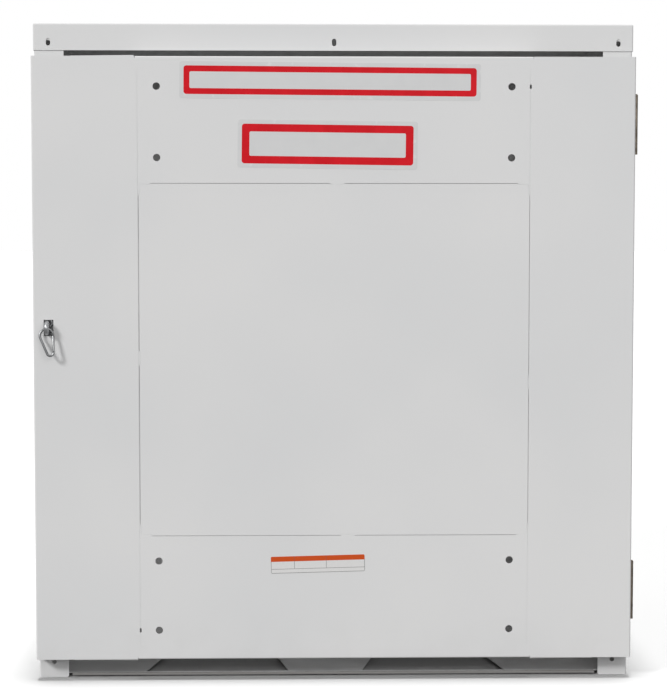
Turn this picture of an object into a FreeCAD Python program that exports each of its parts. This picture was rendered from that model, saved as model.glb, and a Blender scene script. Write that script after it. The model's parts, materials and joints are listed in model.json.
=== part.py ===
import FreeCAD, Part
import math
import os
import re
import Sketcher

# Gas bottle cabinet: a free-standing locker of folded steel sheet with one swinging door.
# +Z is up, +X is to the right and the door looks along -Y.  The origin lies on the ground,
# in the middle of the footprint with its door and latch.  All sizes are in millimetres.

SIZES = [
    # The folded body
    ("body_width", 1020, "outside of the two side panels"),
    ("body_depth", 700, "front flanges to rear flanges"),
    ("body_height", 1124, "ground to roof"),
    ("sheet_thickness", 1.5, "all folded sheet"),
    ("inner_bend", 1.0, "inside radius of a fold"),
    ("front_flange", 50, "front flange of a side panel"),
    ("rear_flange", 30, "rear flange of a side panel"),
    ("foot_rounding", 3, "lower corner of a front flange"),
    ("front_reach", 46, "door and latch in front of the flanges, centres the origin"),
    ("anchor_hole", 8, "hole near the foot of each front flange"),
    ("anchor_height", 26.5, "that hole above the ground"),
    ("side_play", 1, "gap between loose sheets and the side panels"),
    # Vents in the sides and the back
    ("vent_width", 14, "one vent slot"),
    ("vent_pitch", 40, "slot to slot"),
    ("vent_rise", 130, "low row above the floor or the shelf"),
    ("vent_row_gap", 20, "between the two rows of a bay"),
    ("vent_head_room", 30, "high row below the shelf's rail or the roof's edge"),
    # Roof
    ("cap_depth", 45.5, "turned-down edge of the roof"),
    ("cap_slot_width", 7.5, "upright slot in the roof's front edge"),
    ("cap_slot_length", 12.5, "upright slot in the roof's front edge"),
    ("cap_slot_drop", 31.5, "slot below the roof's top"),
    ("cap_slot_inset", 24, "outer slots from the side of the body"),
    ("tie_hole", 9.5, "hole in the side flange behind an outer slot"),
    ("tie_hole_drop", 33, "that hole below the roof's top"),
    # Back and floor
    ("back_lift", 4, "back panel above the ground"),
    ("floor_height", 6.5, "top of the floor above the ground"),
    ("floor_lip", 4, "turned-down front edge of the floor"),
    ("floor_upstand", 30, "turned-up edges of the floor"),
    ("floor_notch", 6, "gap between the floor's lip and a front flange"),
    ("floor_vent_width", 248, "front edge of an opening in the floor"),
    ("floor_vent_rear_width", 160, "rear edge of that opening"),
    ("floor_vent_depth", 220, "opening in the floor"),
    ("floor_vent_spacing", 376, "middle to middle of the two openings"),
    ("floor_vent_shift", -15, "openings from the middle of the floor"),
    ("floor_vent_setback", 12, "openings behind the front flanges"),
    # Shelf
    ("shelf_height", 562, "top of the shelf above the ground"),
    ("shelf_edge", 25, "turned-down edge of the shelf"),
    ("shelf_setback", 45, "shelf behind the front flanges"),
    ("shelf_rear_gap", 10, "shelf in front of the back panel"),
    ("shelf_slot_width", 14, "vent slot in the shelf"),
    ("shelf_slot_length", 120, "vent slot in the shelf"),
    ("shelf_slot_pitch", 60, "slot to slot"),
    ("shelf_slot_spacing", 300, "row to row"),
    ("rail_leg", 30, "both legs of a shelf rail"),
    ("rail_thickness", 2, "shelf rail"),
    ("rail_inset", 30, "rail end inside the shelf's turned-down edge"),
    # Rivets
    ("rivet_shank", 4.8, "rivet"),
    ("rivet_head", 9.5, "rivet"),
    ("rivet_head_height", 1.6, "rivet"),
    ("rivet_tail", 7, "formed end of a rivet"),
    ("rivet_tail_height", 1.6, "formed end of a rivet"),
    ("rivet_fit", 0.1, "gap round a rivet's shank"),
    ("rivet_inset", 110, "end rivets of a row from the front and the rear"),
    ("back_rivet_inset", 90, "end rivets of the back from ground and roof"),
    # Door
    ("door_overlap", 2, "door beyond each side panel"),
    ("door_depth", 21, "depth of the folded door"),
    ("door_bottom", 36.5, "door above the ground"),
    ("door_top_gap", 12, "door below the roof's edge"),
    ("stile_start", 338, "inner edge of a stile from the middle"),
    ("relief_width", 0.8, "notch between a stile and the top and bottom folds"),
    ("relief_depth", 3, "that notch from the door's top and bottom edge"),
    ("stile_drop", 2, "stile below the door's bottom edge"),
    ("stile_top_gap", 3, "stile below the door's top edge"),
    ("tab_length", 110, "tab at an end of a stile"),
    ("tab_drop", 6.4, "lower tab below the door's bottom edge"),
    ("tab_rise", 3.4, "upper tab above the door's top edge"),
    ("tab_taper", 1.2, "how much less a tab reaches at its outer end"),
    ("crease_setback", 5, "weld crease inside the edge of a stile"),
    ("crease_width", 1.4, "weld crease"),
    ("crease_depth", 0.4, "weld crease"),
    ("sign_hole", 12.5, "fixing hole for a sign plate"),
    ("sign_hole_offset", 301, "from the middle of the door"),
    ("sign_outer_inset", 50.5, "outer rows of holes from the door's top and bottom"),
    ("sign_inner_inset", 170.5, "inner rows of holes from the door's top and bottom"),
    ("knockout_width", 665, "pre-cut panel in the door"),
    ("knockout_margin", 214, "pre-cut panel from the door's top and bottom"),
    ("knockout_slot", 0.8, "width of its cut line"),
    ("knockout_corner", 20, "uncut length at each corner"),
    ("knockout_bridge", 24, "uncut length near the middle of each side"),
    ("bridge_top_shift", 5, "bridge from the middle, to the right"),
    ("bridge_bottom_shift", 23, "bridge from the middle, to the right"),
    ("bridge_left_shift", 4, "bridge from the middle, upwards"),
    ("bridge_right_shift", -38, "bridge from the middle, upwards"),
    ("score_inset", 1.5, "score line inside the cut line, at corners and bridges"),
    ("score_width", 0.9, "score line"),
    ("score_depth", 0.3, "score line"),
    ("weld_slot_width", 3.4, "locating slot on a crease"),
    ("weld_slot_length", 7.7, "locating slot on a crease"),
    # Blank films on the door
    ("film_thickness", 0.25, "film"),
    ("upper_film_width", 510, "film"),
    ("upper_film_height", 62, "film"),
    ("upper_film_drop", 10.5, "film below the door's top"),
    ("upper_film_shift", -7, "film's middle from the door's middle"),
    ("lower_film_width", 305, "film"),
    ("lower_film_height", 81, "film"),
    ("lower_film_drop", 108, "film below the door's top"),
    ("lower_film_shift", -11.5, "film's middle from the door's middle"),
    ("label_width", 161, "small label"),
    ("label_height", 29, "small label"),
    ("label_rise", 150, "label above the door's bottom"),
    ("label_shift", -28.5, "label's middle from the door's middle"),
    ("label_turn", 1.4, "degrees that the label is stuck on askew, right end up"),
    # Hinges
    ("hinge_length", 101.6, "hinge"),
    ("hinge_inset", 113, "hinge's middle from the door's top and bottom"),
    ("hinge_proud", 8, "knuckle beyond the door's edge"),
    ("hinge_clear", 0.35, "gap between a knuckle and the sheets"),
    ("knuckle_width", 6.3, "outside of a knuckle"),
    ("knuckle_gap", 0.3, "between knuckles"),
    ("leaf_width", 36.5, "leaf from the pin's axis"),
    ("leaf_thickness", 2, "leaf"),
    ("pin_width", 3, "hinge pin"),
    ("pin_fit", 0.05, "gap round the pin"),
    ("pin_head", 5, "head of the pin"),
    ("pin_head_height", 1.5, "head of the pin"),
    ("leaf_rivet_spacing", 36, "rivet to rivet along a leaf"),
    ("leaf_rivet_setback", 23.5, "rivets from the pin's axis"),
    ("leaf_rivet_head_height", 1.0, "flush head of a leaf's rivet"),
    ("leaf_recess", 1.2, "counterbore for that head"),
    ("recess_fit", 0.3, "gap round that head"),
    # Latch
    ("latch_height", 607.5, "latch above the ground"),
    ("latch_inset", 24, "middle of the latch from the door's edge"),
    ("latch_slot_width", 16.5, "slot in the door for the staple"),
    ("latch_slot_length", 27.5, "slot in the door for the staple"),
    ("latch_slot_shift", 2, "slot from the middle of the latch, to the right"),
    ("stile_slot_margin", 6, "wider slot in the stile behind"),
    ("staple_wire", 8, "round bar of the staple"),
    ("staple_span", 16, "leg to leg"),
    ("staple_reach", 6.5, "middle of the staple's bend in front of the door"),
    ("staple_tail", 14, "legs behind the front flange"),
    ("staple_fit", 0.2, "gap round a leg in its hole"),
    ("nut_flats", 13, "nut across flats"),
    ("nut_height", 5.5, "nut"),
    ("nut_fit", 0.05, "gap between nut and leg"),
    ("plate_thickness", 3, "backing plate"),
    ("plate_width", 34, "backing plate"),
    ("plate_height", 56, "backing plate"),
    ("bumper_width", 8, "rubber bumper"),
    ("bumper_gap", 0.3, "bumper to the closed door"),
    ("bumper_inset", 8, "bumper's middle from the side of the body"),
    ("bumper_spread", 330, "bumpers above and below the door's middle"),
    # Snap clip
    ("clip_wire", 4, "round wire of the clip"),
    ("clip_length", 51, "outside length"),
    ("clip_top_radius", 11.3, "bend at the wide end, to the wire's middle"),
    ("clip_bottom_radius", 5.5, "bend at the narrow end, to the wire's middle"),
    ("clip_stand", 5, "wire's middle in front of the door"),
    ("clip_seat", 0.4, "gap between clip and staple"),
    ("clip_slip", 0.6, "how far the clip has slid to the left on the staple"),
    ("clip_lean", 12, "degrees that the clip hangs away from the door"),
    ("clip_tilt", 13, "degrees that the clip hangs askew"),
    ("gate_gap", 0.3, "gap at each end of the gate"),
    ("gate_play", 0.2, "gap on each side of the tongue"),
    ("tongue_thickness", 1.6, "flat end of the wire inside the gate's fork"),
    ("tongue_width", 3.2, "flat end of the wire inside the gate's fork"),
    ("clip_pin_width", 1.6, "pin of the gate"),
    ("clip_pin_length", 4.4, "pin of the gate"),
    ("clip_pin_fit", 0.03, "gap round that pin"),
]
SIDE_VENTS_IN_ROW = 14
BACK_VENTS_IN_ROW = 18
SHELF_SLOTS_IN_ROW = 13
KNUCKLES = 5
SAME_PLACE = 0.01

doc = FreeCAD.newDocument("gas_bottle_cabinet")
table = doc.addObject("Spreadsheet::Sheet", "Sizes")
for row, (alias, size, note) in enumerate(SIZES, start=1):
    table.set(f"A{row}", alias)
    table.set(f"B{row}", str(size))
    table.setAlias(f"B{row}", alias)
    table.set(f"C{row}", note)
doc.recompute()
SIZE_NAMES = {alias for alias, size, note in SIZES}
nodes = []

# Places that several pieces share, as expressions on the sheet's sizes
half_body = "(body_width / 2)"
inner_side = "(body_width / 2 - sheet_thickness)"
front = "((front_reach - body_depth) / 2)"
front_inside = f"({front} + sheet_thickness)"
rear = f"({front} + body_depth)"
rear_inside = f"({rear} - sheet_thickness)"
back_inside = f"({rear_inside} - sheet_thickness)"
depth_middle = f"(({front} + {rear}) / 2)"
roof_inside = "(body_height - sheet_thickness)"
outer_bend = "(inner_bend + sheet_thickness)"
through_sheet = "(4 * sheet_thickness)"
hole_width = "(rivet_shank + 2 * rivet_fit)"

door_gap = "(knuckle_width + 2 * hinge_clear)"
door_back = f"({front} - {door_gap})"
door_front = f"({door_back} - door_depth)"
half_door = f"({half_body} + door_overlap)"
door_top = "(body_height - cap_depth - door_top_gap)"
door_middle = f"(({door_top} + door_bottom) / 2)"
hinge_x = f"({half_door} + hinge_proud - knuckle_width / 2)"
hinge_y = f"({front} - {door_gap} / 2)"
hinge_heights = {"upper": f"({door_top} - hinge_inset)", "lower": "(door_bottom + hinge_inset)"}
latch_x = f"(latch_inset - {half_door})"
latch_slot_left = f"({latch_x} + latch_slot_shift - latch_slot_width / 2)"
latch_slot_right = f"({latch_slot_left} + latch_slot_width)"
fold_end = "(stile_start - relief_width)"
crease_x = "(stile_start - crease_setback)"
knockout_side = "(knockout_width / 2)"
knockout_high = f"(({door_top} - door_bottom) / 2 - knockout_margin)"

# Rows of rivets along the depth and up the back, and the two bays between them
side_rows = [f"({front} + rivet_inset)", depth_middle, f"({rear} - rivet_inset)"]
cap_rivet_height = "(body_height - cap_depth / 2)"
floor_rivet_height = "(floor_height + floor_upstand / 2)"
rail_top = "(shelf_height - sheet_thickness)"
rail_rivet_height = f"({rail_top} - rail_leg / 2)"
bays = [
    ("floor_height", f"({rail_top} - rail_leg)"),
    ("shelf_height", "(body_height - cap_depth)"),
]
back_rivet_x = "(body_width / 2 - rear_flange / 2)"
back_rows = [
    "back_rivet_inset",
    "((2 * back_rivet_inset + body_height - back_rivet_inset) / 3)",
    "((back_rivet_inset + 2 * (body_height - back_rivet_inset)) / 3)",
    "(body_height - back_rivet_inset)",
]
floor_back_rivets = ["(-body_width / 4)", "0", "(body_width / 4)"]
leaf_rivet_x = f"({hinge_x} - leaf_rivet_setback)"
leaf_rivet_steps = ["(-leaf_rivet_spacing)", "0", "leaf_rivet_spacing"]


def formula(text):
    """Write an expression on the sheet's sizes the way the document reads it."""
    def with_sheet(word):
        return f"Sizes.{word.group()}" if word.group() in SIZE_NAMES else word.group()
    return re.sub(r"[a-z_]+", with_sheet, text)


def number(text):
    """The value of an expression on the sheet's sizes."""
    return float(table.evalExpression(formula(text)))


def bind(thing, **properties):
    """Tie properties to expressions; a double underscore stands for a dot."""
    for name, text in properties.items():
        thing.setExpression(name.replace("__", "."), formula(text))


def place(thing, x="0", y="0", z="0"):
    bind(thing, Placement__Base__x=x, Placement__Base__y=y, Placement__Base__z=z)


def keep(label, thing):
    """Make a finished object a named piece of the cabinet."""
    thing.Label = label
    nodes.append(thing)
    return thing


# Sketches and the features that use them

PLANES = {"above": "XY_Plane", "front": "XZ_Plane", "side": "YZ_Plane"}


def new_sketch(body, view, level):
    """A sketch seen from above, from the front or from the side, at a z, y or x level."""
    sketch = body.newObject("Sketcher::SketchObject", body.Name + "_sketch")
    plane = next(item for item in body.Origin.OriginFeatures if item.Role == PLANES[view])
    sketch.AttachmentSupport = (plane, [""])
    sketch.MapMode = "FlatFace"
    offset = f"-({level})" if view == "front" else level
    bind(sketch, AttachmentOffset__Base__z=offset)
    return sketch


def fix_point(sketch, curve, point, x, y):
    for kind, text in (("DistanceX", x), ("DistanceY", y)):
        rule = Sketcher.Constraint(kind, -1, 1, curve, point, number(text))
        index = sketch.addConstraint(rule)
        sketch.setExpression(f"Constraints[{index}]", formula(text))


def draw_outline(sketch, corners):
    """A closed outline of straight lines through corners, each a pair of expressions."""
    spots = [FreeCAD.Vector(number(x), number(y), 0) for x, y in corners]
    first = sketch.GeometryCount
    count = len(spots)
    for index in range(count):
        sketch.addGeometry(Part.LineSegment(spots[index], spots[(index + 1) % count]), False)
    for index, (x, y) in enumerate(corners):
        after = first + (index + 1) % count
        sketch.addConstraint(Sketcher.Constraint("Coincident", first + index, 2, after, 1))
        fix_point(sketch, first + index, 1, x, y)


def draw_rectangle(sketch, left, right, low, high):
    draw_outline(sketch, [(left, low), (right, low), (right, high), (left, high)])


def draw_circle(sketch, x, y, width):
    spot = FreeCAD.Vector(number(x), number(y), 0)
    circle = Part.Circle(spot, FreeCAD.Vector(0, 0, 1), number(width) / 2)
    curve = sketch.addGeometry(circle, False)
    fix_point(sketch, curve, 3, x, y)
    index = sketch.addConstraint(Sketcher.Constraint("Diameter", curve, number(width)))
    sketch.setExpression(f"Constraints[{index}]", formula(width))


def draw_upright_slot(sketch, x, y, width, length):
    """A round-ended slot that stands along the sketch's second axis."""
    reach = f"(({length}) - ({width})) / 2"
    radius = number(width) / 2
    up = FreeCAD.Vector(0, number(reach), 0)
    aside = FreeCAD.Vector(radius, 0, 0)
    spot = FreeCAD.Vector(number(x), number(y), 0)
    normal = FreeCAD.Vector(0, 0, 1)
    top = Part.ArcOfCircle(Part.Circle(spot + up, normal, radius), 0, math.pi)
    bottom = Part.ArcOfCircle(Part.Circle(spot - up, normal, radius), math.pi, 2 * math.pi)
    left = Part.LineSegment(spot + up - aside, spot - up - aside)
    right = Part.LineSegment(spot - up + aside, spot + up + aside)
    first = sketch.GeometryCount
    for curve in (top, left, bottom, right):
        sketch.addGeometry(curve, False)
    for index in range(4):
        after = first + (index + 1) % 4
        sketch.addConstraint(Sketcher.Constraint("Tangent", first + index, 2, after, 1))
    sketch.addConstraint(Sketcher.Constraint("Equal", first, first + 2))
    fix_point(sketch, first, 3, x, f"({y}) + {reach}")
    fix_point(sketch, first + 2, 3, x, f"({y}) - {reach}")
    index = sketch.addConstraint(Sketcher.Constraint("Radius", first, radius))
    sketch.setExpression(f"Constraints[{index}]", formula(f"({width}) / 2"))


def new_body(label):
    return keep(label, doc.addObject("PartDesign::Body", label))


def pad(body, sketch, length):
    feature = body.newObject("PartDesign::Pad", body.Name + "_pad")
    feature.Profile = sketch
    bind(feature, Length=length)
    doc.recompute()
    return feature


def pocket(body, sketch, length):
    """Cut a sketch half of a length to each side of its plane, and check that it cuts."""
    before = body.Shape.Volume
    feature = body.newObject("PartDesign::Pocket", body.Name + "_pocket")
    feature.Profile = sketch
    feature.SideType = "Symmetric"
    bind(feature, Length=length)
    doc.recompute()
    if body.Shape.Volume >= before:
        raise RuntimeError(f"a cut in {body.Label} misses the sheet")
    return feature


def repeat(body, feature, sketch, axis, count, pitch):
    """Copy a cut along one of its sketch's own axes."""
    pattern = body.newObject("PartDesign::LinearPattern", body.Name + "_row")
    pattern.Originals = [feature]
    pattern.Direction = (sketch, [axis])
    pattern.Occurrences = count
    bind(pattern, Length=f"{count - 1} * {pitch}")
    body.Tip = pattern
    doc.recompute()
    return pattern


def round_edges(body, radius, wanted):
    """Round the body's straight edges whose middle the test wants."""
    base = body.Tip
    names = []
    for index, edge in enumerate(base.Shape.Edges, start=1):
        if isinstance(edge.Curve, Part.Line) and wanted(edge.CenterOfMass):
            names.append(f"Edge{index}")
    fillet = body.newObject("PartDesign::Fillet", body.Name + "_fold")
    fillet.Base = (base, names)
    bind(fillet, Radius=radius)
    doc.recompute()
    return fillet


def near(spot, **wanted):
    """True where a point lies at the wanted coordinates, given as expressions."""
    return all(abs(getattr(spot, axis) - number(text)) < SAME_PLACE for axis, text in wanted.items())


def drill(body, view, level, spots, width):
    """Round holes through the sheet at a level, at pairs of expressions."""
    sketch = new_sketch(body, view, level)
    for x, y in spots:
        draw_circle(sketch, x, y, width)
    pocket(body, sketch, through_sheet)


# Plain solids and booleans

TURNS = {
    "+x": FreeCAD.Rotation(FreeCAD.Vector(0, 1, 0), 90),
    "-x": FreeCAD.Rotation(FreeCAD.Vector(0, 1, 0), -90),
    "+y": FreeCAD.Rotation(FreeCAD.Vector(1, 0, 0), -90),
    "-y": FreeCAD.Rotation(FreeCAD.Vector(1, 0, 0), 90),
    "+z": FreeCAD.Rotation(),
}


def box(x, y, z):
    """A block between pairs of expressions along each axis."""
    block = doc.addObject("Part::Box", "block")
    sides = [f"({high}) - ({low})" for low, high in (x, y, z)]
    bind(block, Length=sides[0], Width=sides[1], Height=sides[2])
    place(block, x[0], y[0], z[0])
    return block


def cylinder(base, direction, width, length):
    rod = doc.addObject("Part::Cylinder", "rod")
    rod.Placement = FreeCAD.Placement(FreeCAD.Vector(), TURNS[direction])
    bind(rod, Radius=f"({width}) / 2", Height=length)
    place(rod, *base)
    return rod


def join(solids):
    whole = doc.addObject("Part::MultiFuse", "joined")
    whole.Shapes = solids
    return whole


def cut(base, tools):
    for tool in tools:
        rest = doc.addObject("Part::Cut", "rest")
        rest.Base = base
        rest.Tool = tool
        base = rest
    return base


def group(label, solids):
    """Several equal fasteners as one piece of separate solids."""
    bundle = doc.addObject("Part::Compound", label)
    bundle.Links = solids
    return keep(label, bundle)


def shifted(base, direction, distance):
    """A base moved along a direction by an expression."""
    axis = "xyz".index(direction[1])
    moved = list(base)
    moved[axis] = f"({base[axis]} {direction[0]} ({distance}))"
    return moved


def rivet(base, direction, grip, head_height="rivet_head_height", sink="0"):
    """A rivet whose head seats at base, sunk or proud, and whose end is formed past the grip."""
    seat = shifted(base, direction, sink)
    head = cylinder(shifted(seat, direction, f"-{head_height}"), direction, "rivet_head", head_height)
    shank = cylinder(seat, direction, "rivet_shank", f"{grip} - {sink} + rivet_tail_height / 2")
    tail = cylinder(shifted(base, direction, grip), direction, "rivet_tail", "rivet_tail_height")
    return join([head, shank, tail])


# Folded body

def cut_vents(body, view, level, middle, count):
    """Two rows of upright vent slots for each bay, with a count of slots in a row."""
    sketch = new_sketch(body, view, level)
    start = f"{middle} - {count - 1} * vent_pitch / 2"
    for low, high in bays:
        first = f"({low} + vent_rise)"
        length = f"(({high} - vent_head_room - {first} - vent_row_gap) / 2)"
        for row in ("0", "1"):
            height = f"{first} + {length} / 2 + {row} * ({length} + vent_row_gap)"
            draw_upright_slot(sketch, start, height, "vent_width", length)
    slots = pocket(body, sketch, through_sheet)
    repeat(body, slots, sketch, "H_Axis", count, "vent_pitch")


def side_panel(label, sign):
    """A side wall with a front flange, which also stands as the foot, and a rear flange."""
    outer = f"({sign} * {half_body})"
    inner = f"({sign} * {inner_side})"
    front_tip = f"({sign} * (body_width / 2 - front_flange))"
    rear_tip = f"({sign} * (body_width / 2 - rear_flange))"
    body = new_body(label)
    profile = new_sketch(body, "above", "0")
    draw_outline(profile, [
        (front_tip, front), (outer, front), (outer, rear), (rear_tip, rear),
        (rear_tip, rear_inside), (inner, rear_inside), (inner, front_inside), (front_tip, front_inside),
    ])
    pad(body, profile, roof_inside)
    round_edges(body, outer_bend, lambda spot: (
        near(spot, x=outer, y=front) or near(spot, x=outer, y=rear)))
    round_edges(body, "inner_bend", lambda spot: (
        near(spot, x=inner, y=front_inside) or near(spot, x=inner, y=rear_inside)))
    round_edges(body, "foot_rounding", lambda spot: near(spot, x=front_tip, z="0"))
    cut_vents(body, "side", inner, depth_middle, SIDE_VENTS_IN_ROW)
    spots = [(y, z) for y in side_rows for z in (cap_rivet_height, floor_rivet_height, rail_rivet_height)]
    drill(body, "side", inner, spots, hole_width)
    drill(body, "front", rear_inside, [(f"{sign} * {back_rivet_x}", z) for z in back_rows], hole_width)
    anchor_x = f"({sign} * (body_width / 2 - front_flange / 2))"
    drill(body, "front", front, [(anchor_x, "anchor_height")], "anchor_hole")
    tie_x = f"({sign} * (body_width / 2 - cap_slot_inset))"
    drill(body, "front", front, [(tie_x, "body_height - tie_hole_drop")], "tie_hole")
    return body


left_panel = side_panel("left_side_panel", "-1")
staple_heights = ["(latch_height - staple_span / 2)", "(latch_height + staple_span / 2)"]
staple_hole = "(staple_wire + 2 * staple_fit)"
drill(left_panel, "front", front, [(latch_x, z) for z in staple_heights], staple_hole)

right_panel = side_panel("right_side_panel", "1")
frame_rivets = [
    (leaf_rivet_x, f"({z} + {step})") for z in hinge_heights.values() for step in leaf_rivet_steps]
drill(right_panel, "front", front, frame_rivets, hole_width)


def roof_cap():
    """A flat roof whose edges turn down over the outside of the body."""
    body = new_body("roof_cap")
    cap_x = "(body_width / 2 + sheet_thickness)"
    cap_front = f"({front} - sheet_thickness)"
    cap_rear = f"({rear} + sheet_thickness)"
    cap_low = "(body_height - cap_depth)"
    outside = new_sketch(body, "above", cap_low)
    draw_rectangle(outside, f"-{cap_x}", cap_x, cap_front, cap_rear)
    pad(body, outside, "cap_depth")
    inside = new_sketch(body, "above", cap_low)
    draw_rectangle(inside, f"-{half_body}", half_body, front, rear)
    pocket(body, inside, "2 * (cap_depth - sheet_thickness)")
    round_edges(body, outer_bend, lambda spot: near(spot, z="body_height") or (
        (near(spot, x=cap_x) or near(spot, x=f"-{cap_x}"))
        and (near(spot, y=cap_front) or near(spot, y=cap_rear))))
    slots = new_sketch(body, "front", cap_front)
    for x in (f"cap_slot_inset - {half_body}", "0", f"{half_body} - cap_slot_inset"):
        draw_upright_slot(slots, x, "body_height - cap_slot_drop", "cap_slot_width", "cap_slot_length")
    pocket(body, slots, through_sheet)
    for x in (half_body, f"-{half_body}"):
        drill(body, "side", x, [(y, cap_rivet_height) for y in side_rows], hole_width)


def back_panel():
    """A flat sheet inside the rear flanges of the side panels."""
    body = new_body("back_panel")
    sketch = new_sketch(body, "front", rear_inside)
    edge = f"({inner_side} - side_play)"
    draw_rectangle(sketch, f"-{edge}", edge, "back_lift", roof_inside)
    pad(body, sketch, "sheet_thickness")
    cut_vents(body, "front", rear_inside, "0", BACK_VENTS_IN_ROW)
    spots = [(f"{sign} * {back_rivet_x}", z) for sign in ("-1", "1") for z in back_rows]
    spots += [(x, floor_rivet_height) for x in floor_back_rivets]
    drill(body, "front", rear_inside, spots, hole_width)


def floor_pan():
    """A floor with a turned-down lip between the feet and turned-up edges on the other sides."""
    body = new_body("floor_pan")
    floor_low = "(floor_height - sheet_thickness)"
    lip_end = "(body_width / 2 - front_flange - floor_notch)"
    wide_start = f"({front_inside} + floor_notch)"
    plan = new_sketch(body, "above", floor_low)
    draw_outline(plan, [
        (f"-{lip_end}", front), (lip_end, front), (lip_end, wide_start), (inner_side, wide_start),
        (inner_side, back_inside), (f"-{inner_side}", back_inside),
        (f"-{inner_side}", wide_start), (f"-{lip_end}", wide_start),
    ])
    pad(body, plan, "sheet_thickness")
    lip = new_sketch(body, "above", "(floor_height - floor_lip)")
    draw_rectangle(lip, f"-{lip_end}", lip_end, front, front_inside)
    pad(body, lip, "floor_lip")
    edges = new_sketch(body, "above", floor_low)
    upstand_side = f"({inner_side} - sheet_thickness)"
    draw_outline(edges, [
        (inner_side, wide_start), (inner_side, back_inside), (f"-{inner_side}", back_inside),
        (f"-{inner_side}", wide_start), (f"-{upstand_side}", wide_start),
        (f"-{upstand_side}", f"({back_inside} - sheet_thickness)"),
        (upstand_side, f"({back_inside} - sheet_thickness)"), (upstand_side, wide_start),
    ])
    pad(body, edges, "sheet_thickness + floor_upstand")
    vents = new_sketch(body, "above", "floor_height")
    vent_front = f"({front} + floor_vent_setback)"
    vent_rear = f"({vent_front} + floor_vent_depth)"
    for sign in ("-1", "1"):
        middle = f"(floor_vent_shift + {sign} * floor_vent_spacing / 2)"
        draw_outline(vents, [
            (f"{middle} - floor_vent_width / 2", vent_front),
            (f"{middle} + floor_vent_width / 2", vent_front),
            (f"{middle} + floor_vent_rear_width / 2", vent_rear),
            (f"{middle} - floor_vent_rear_width / 2", vent_rear),
        ])
    pocket(body, vents, through_sheet)
    round_edges(body, outer_bend, lambda spot: near(spot, y=front, z="floor_height"))
    for x in (inner_side, f"-{inner_side}"):
        drill(body, "side", x, [(y, floor_rivet_height) for y in side_rows], hole_width)
    drill(body, "front", back_inside, [(x, floor_rivet_height) for x in floor_back_rivets], hole_width)


def mid_shelf():
    """A slotted shelf with turned-down front and rear edges, laid on the two rails."""
    body = new_body("mid_shelf")
    edge = f"({inner_side} - side_play)"
    shelf_front = f"({front} + shelf_setback)"
    shelf_rear = f"({back_inside} - shelf_rear_gap)"
    profile = new_sketch(body, "side", f"-{edge}")
    low = "(shelf_height - shelf_edge)"
    draw_outline(profile, [
        (shelf_front, low), (shelf_front, "shelf_height"), (shelf_rear, "shelf_height"), (shelf_rear, low),
        (f"({shelf_rear} - sheet_thickness)", low), (f"({shelf_rear} - sheet_thickness)", rail_top),
        (f"({shelf_front} + sheet_thickness)", rail_top), (f"({shelf_front} + sheet_thickness)", low),
    ])
    pad(body, profile, f"2 * {edge}")
    round_edges(body, outer_bend, lambda spot: (
        near(spot, y=shelf_front, z="shelf_height") or near(spot, y=shelf_rear, z="shelf_height")))
    slots = new_sketch(body, "above", "shelf_height")
    for sign in ("-1", "1"):
        draw_upright_slot(slots, f"-{SHELF_SLOTS_IN_ROW - 1} * shelf_slot_pitch / 2",
                          f"{depth_middle} + {sign} * shelf_slot_spacing / 2",
                          "shelf_slot_width", "shelf_slot_length")
    rows = pocket(body, slots, through_sheet)
    repeat(body, rows, slots, "H_Axis", SHELF_SLOTS_IN_ROW, "shelf_slot_pitch")


def shelf_rail(label, sign):
    """An angle riveted to a side wall, with its flat leg under the shelf."""
    body = new_body(label)
    wall = f"({sign} * {inner_side})"
    tip = f"({sign} * ({inner_side} - rail_leg))"
    leg = f"({sign} * ({inner_side} - rail_thickness))"
    start = f"({front} + shelf_setback + rail_inset)"
    profile = new_sketch(body, "front", f"({rear} - rivet_inset / 2)")
    draw_outline(profile, [
        (wall, f"{rail_top} - rail_leg"), (wall, rail_top),
        (tip, rail_top), (tip, f"{rail_top} - rail_thickness"),
        (leg, f"{rail_top} - rail_thickness"), (leg, f"{rail_top} - rail_leg"),
    ])
    pad(body, profile, f"({rear} - rivet_inset / 2) - {start}")
    drill(body, "side", wall, [(y, rail_rivet_height) for y in side_rows], hole_width)


roof_cap()
back_panel()
floor_pan()
mid_shelf()
shelf_rail("shelf_rail_left", "-1")
shelf_rail("shelf_rail_right", "1")


def side_rivets(outer_face, height, grip):
    """A row of rivets through each side wall, with their heads outside."""
    solids = []
    for y in side_rows:
        solids.append(rivet((f"-({outer_face})", y, height), "+x", grip))
        solids.append(rivet((outer_face, y, height), "-x", grip))
    return solids


two_sheets = "(2 * sheet_thickness)"
group("roof_rivets", side_rivets(f"{half_body} + sheet_thickness", cap_rivet_height, two_sheets))
floor_rivets = side_rivets(half_body, floor_rivet_height, two_sheets)
floor_rivets += [rivet((x, rear_inside, floor_rivet_height), "-y", two_sheets) for x in floor_back_rivets]
group("floor_rivets", floor_rivets)
rail_grip = "(sheet_thickness + rail_thickness)"
group("shelf_rail_rivets", side_rivets(half_body, rail_rivet_height, rail_grip))
group("back_panel_rivets", [
    rivet((f"{sign} * {back_rivet_x}", rear, z), "-y", two_sheets)
    for sign in ("-1", "1") for z in back_rows])


# Door

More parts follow.
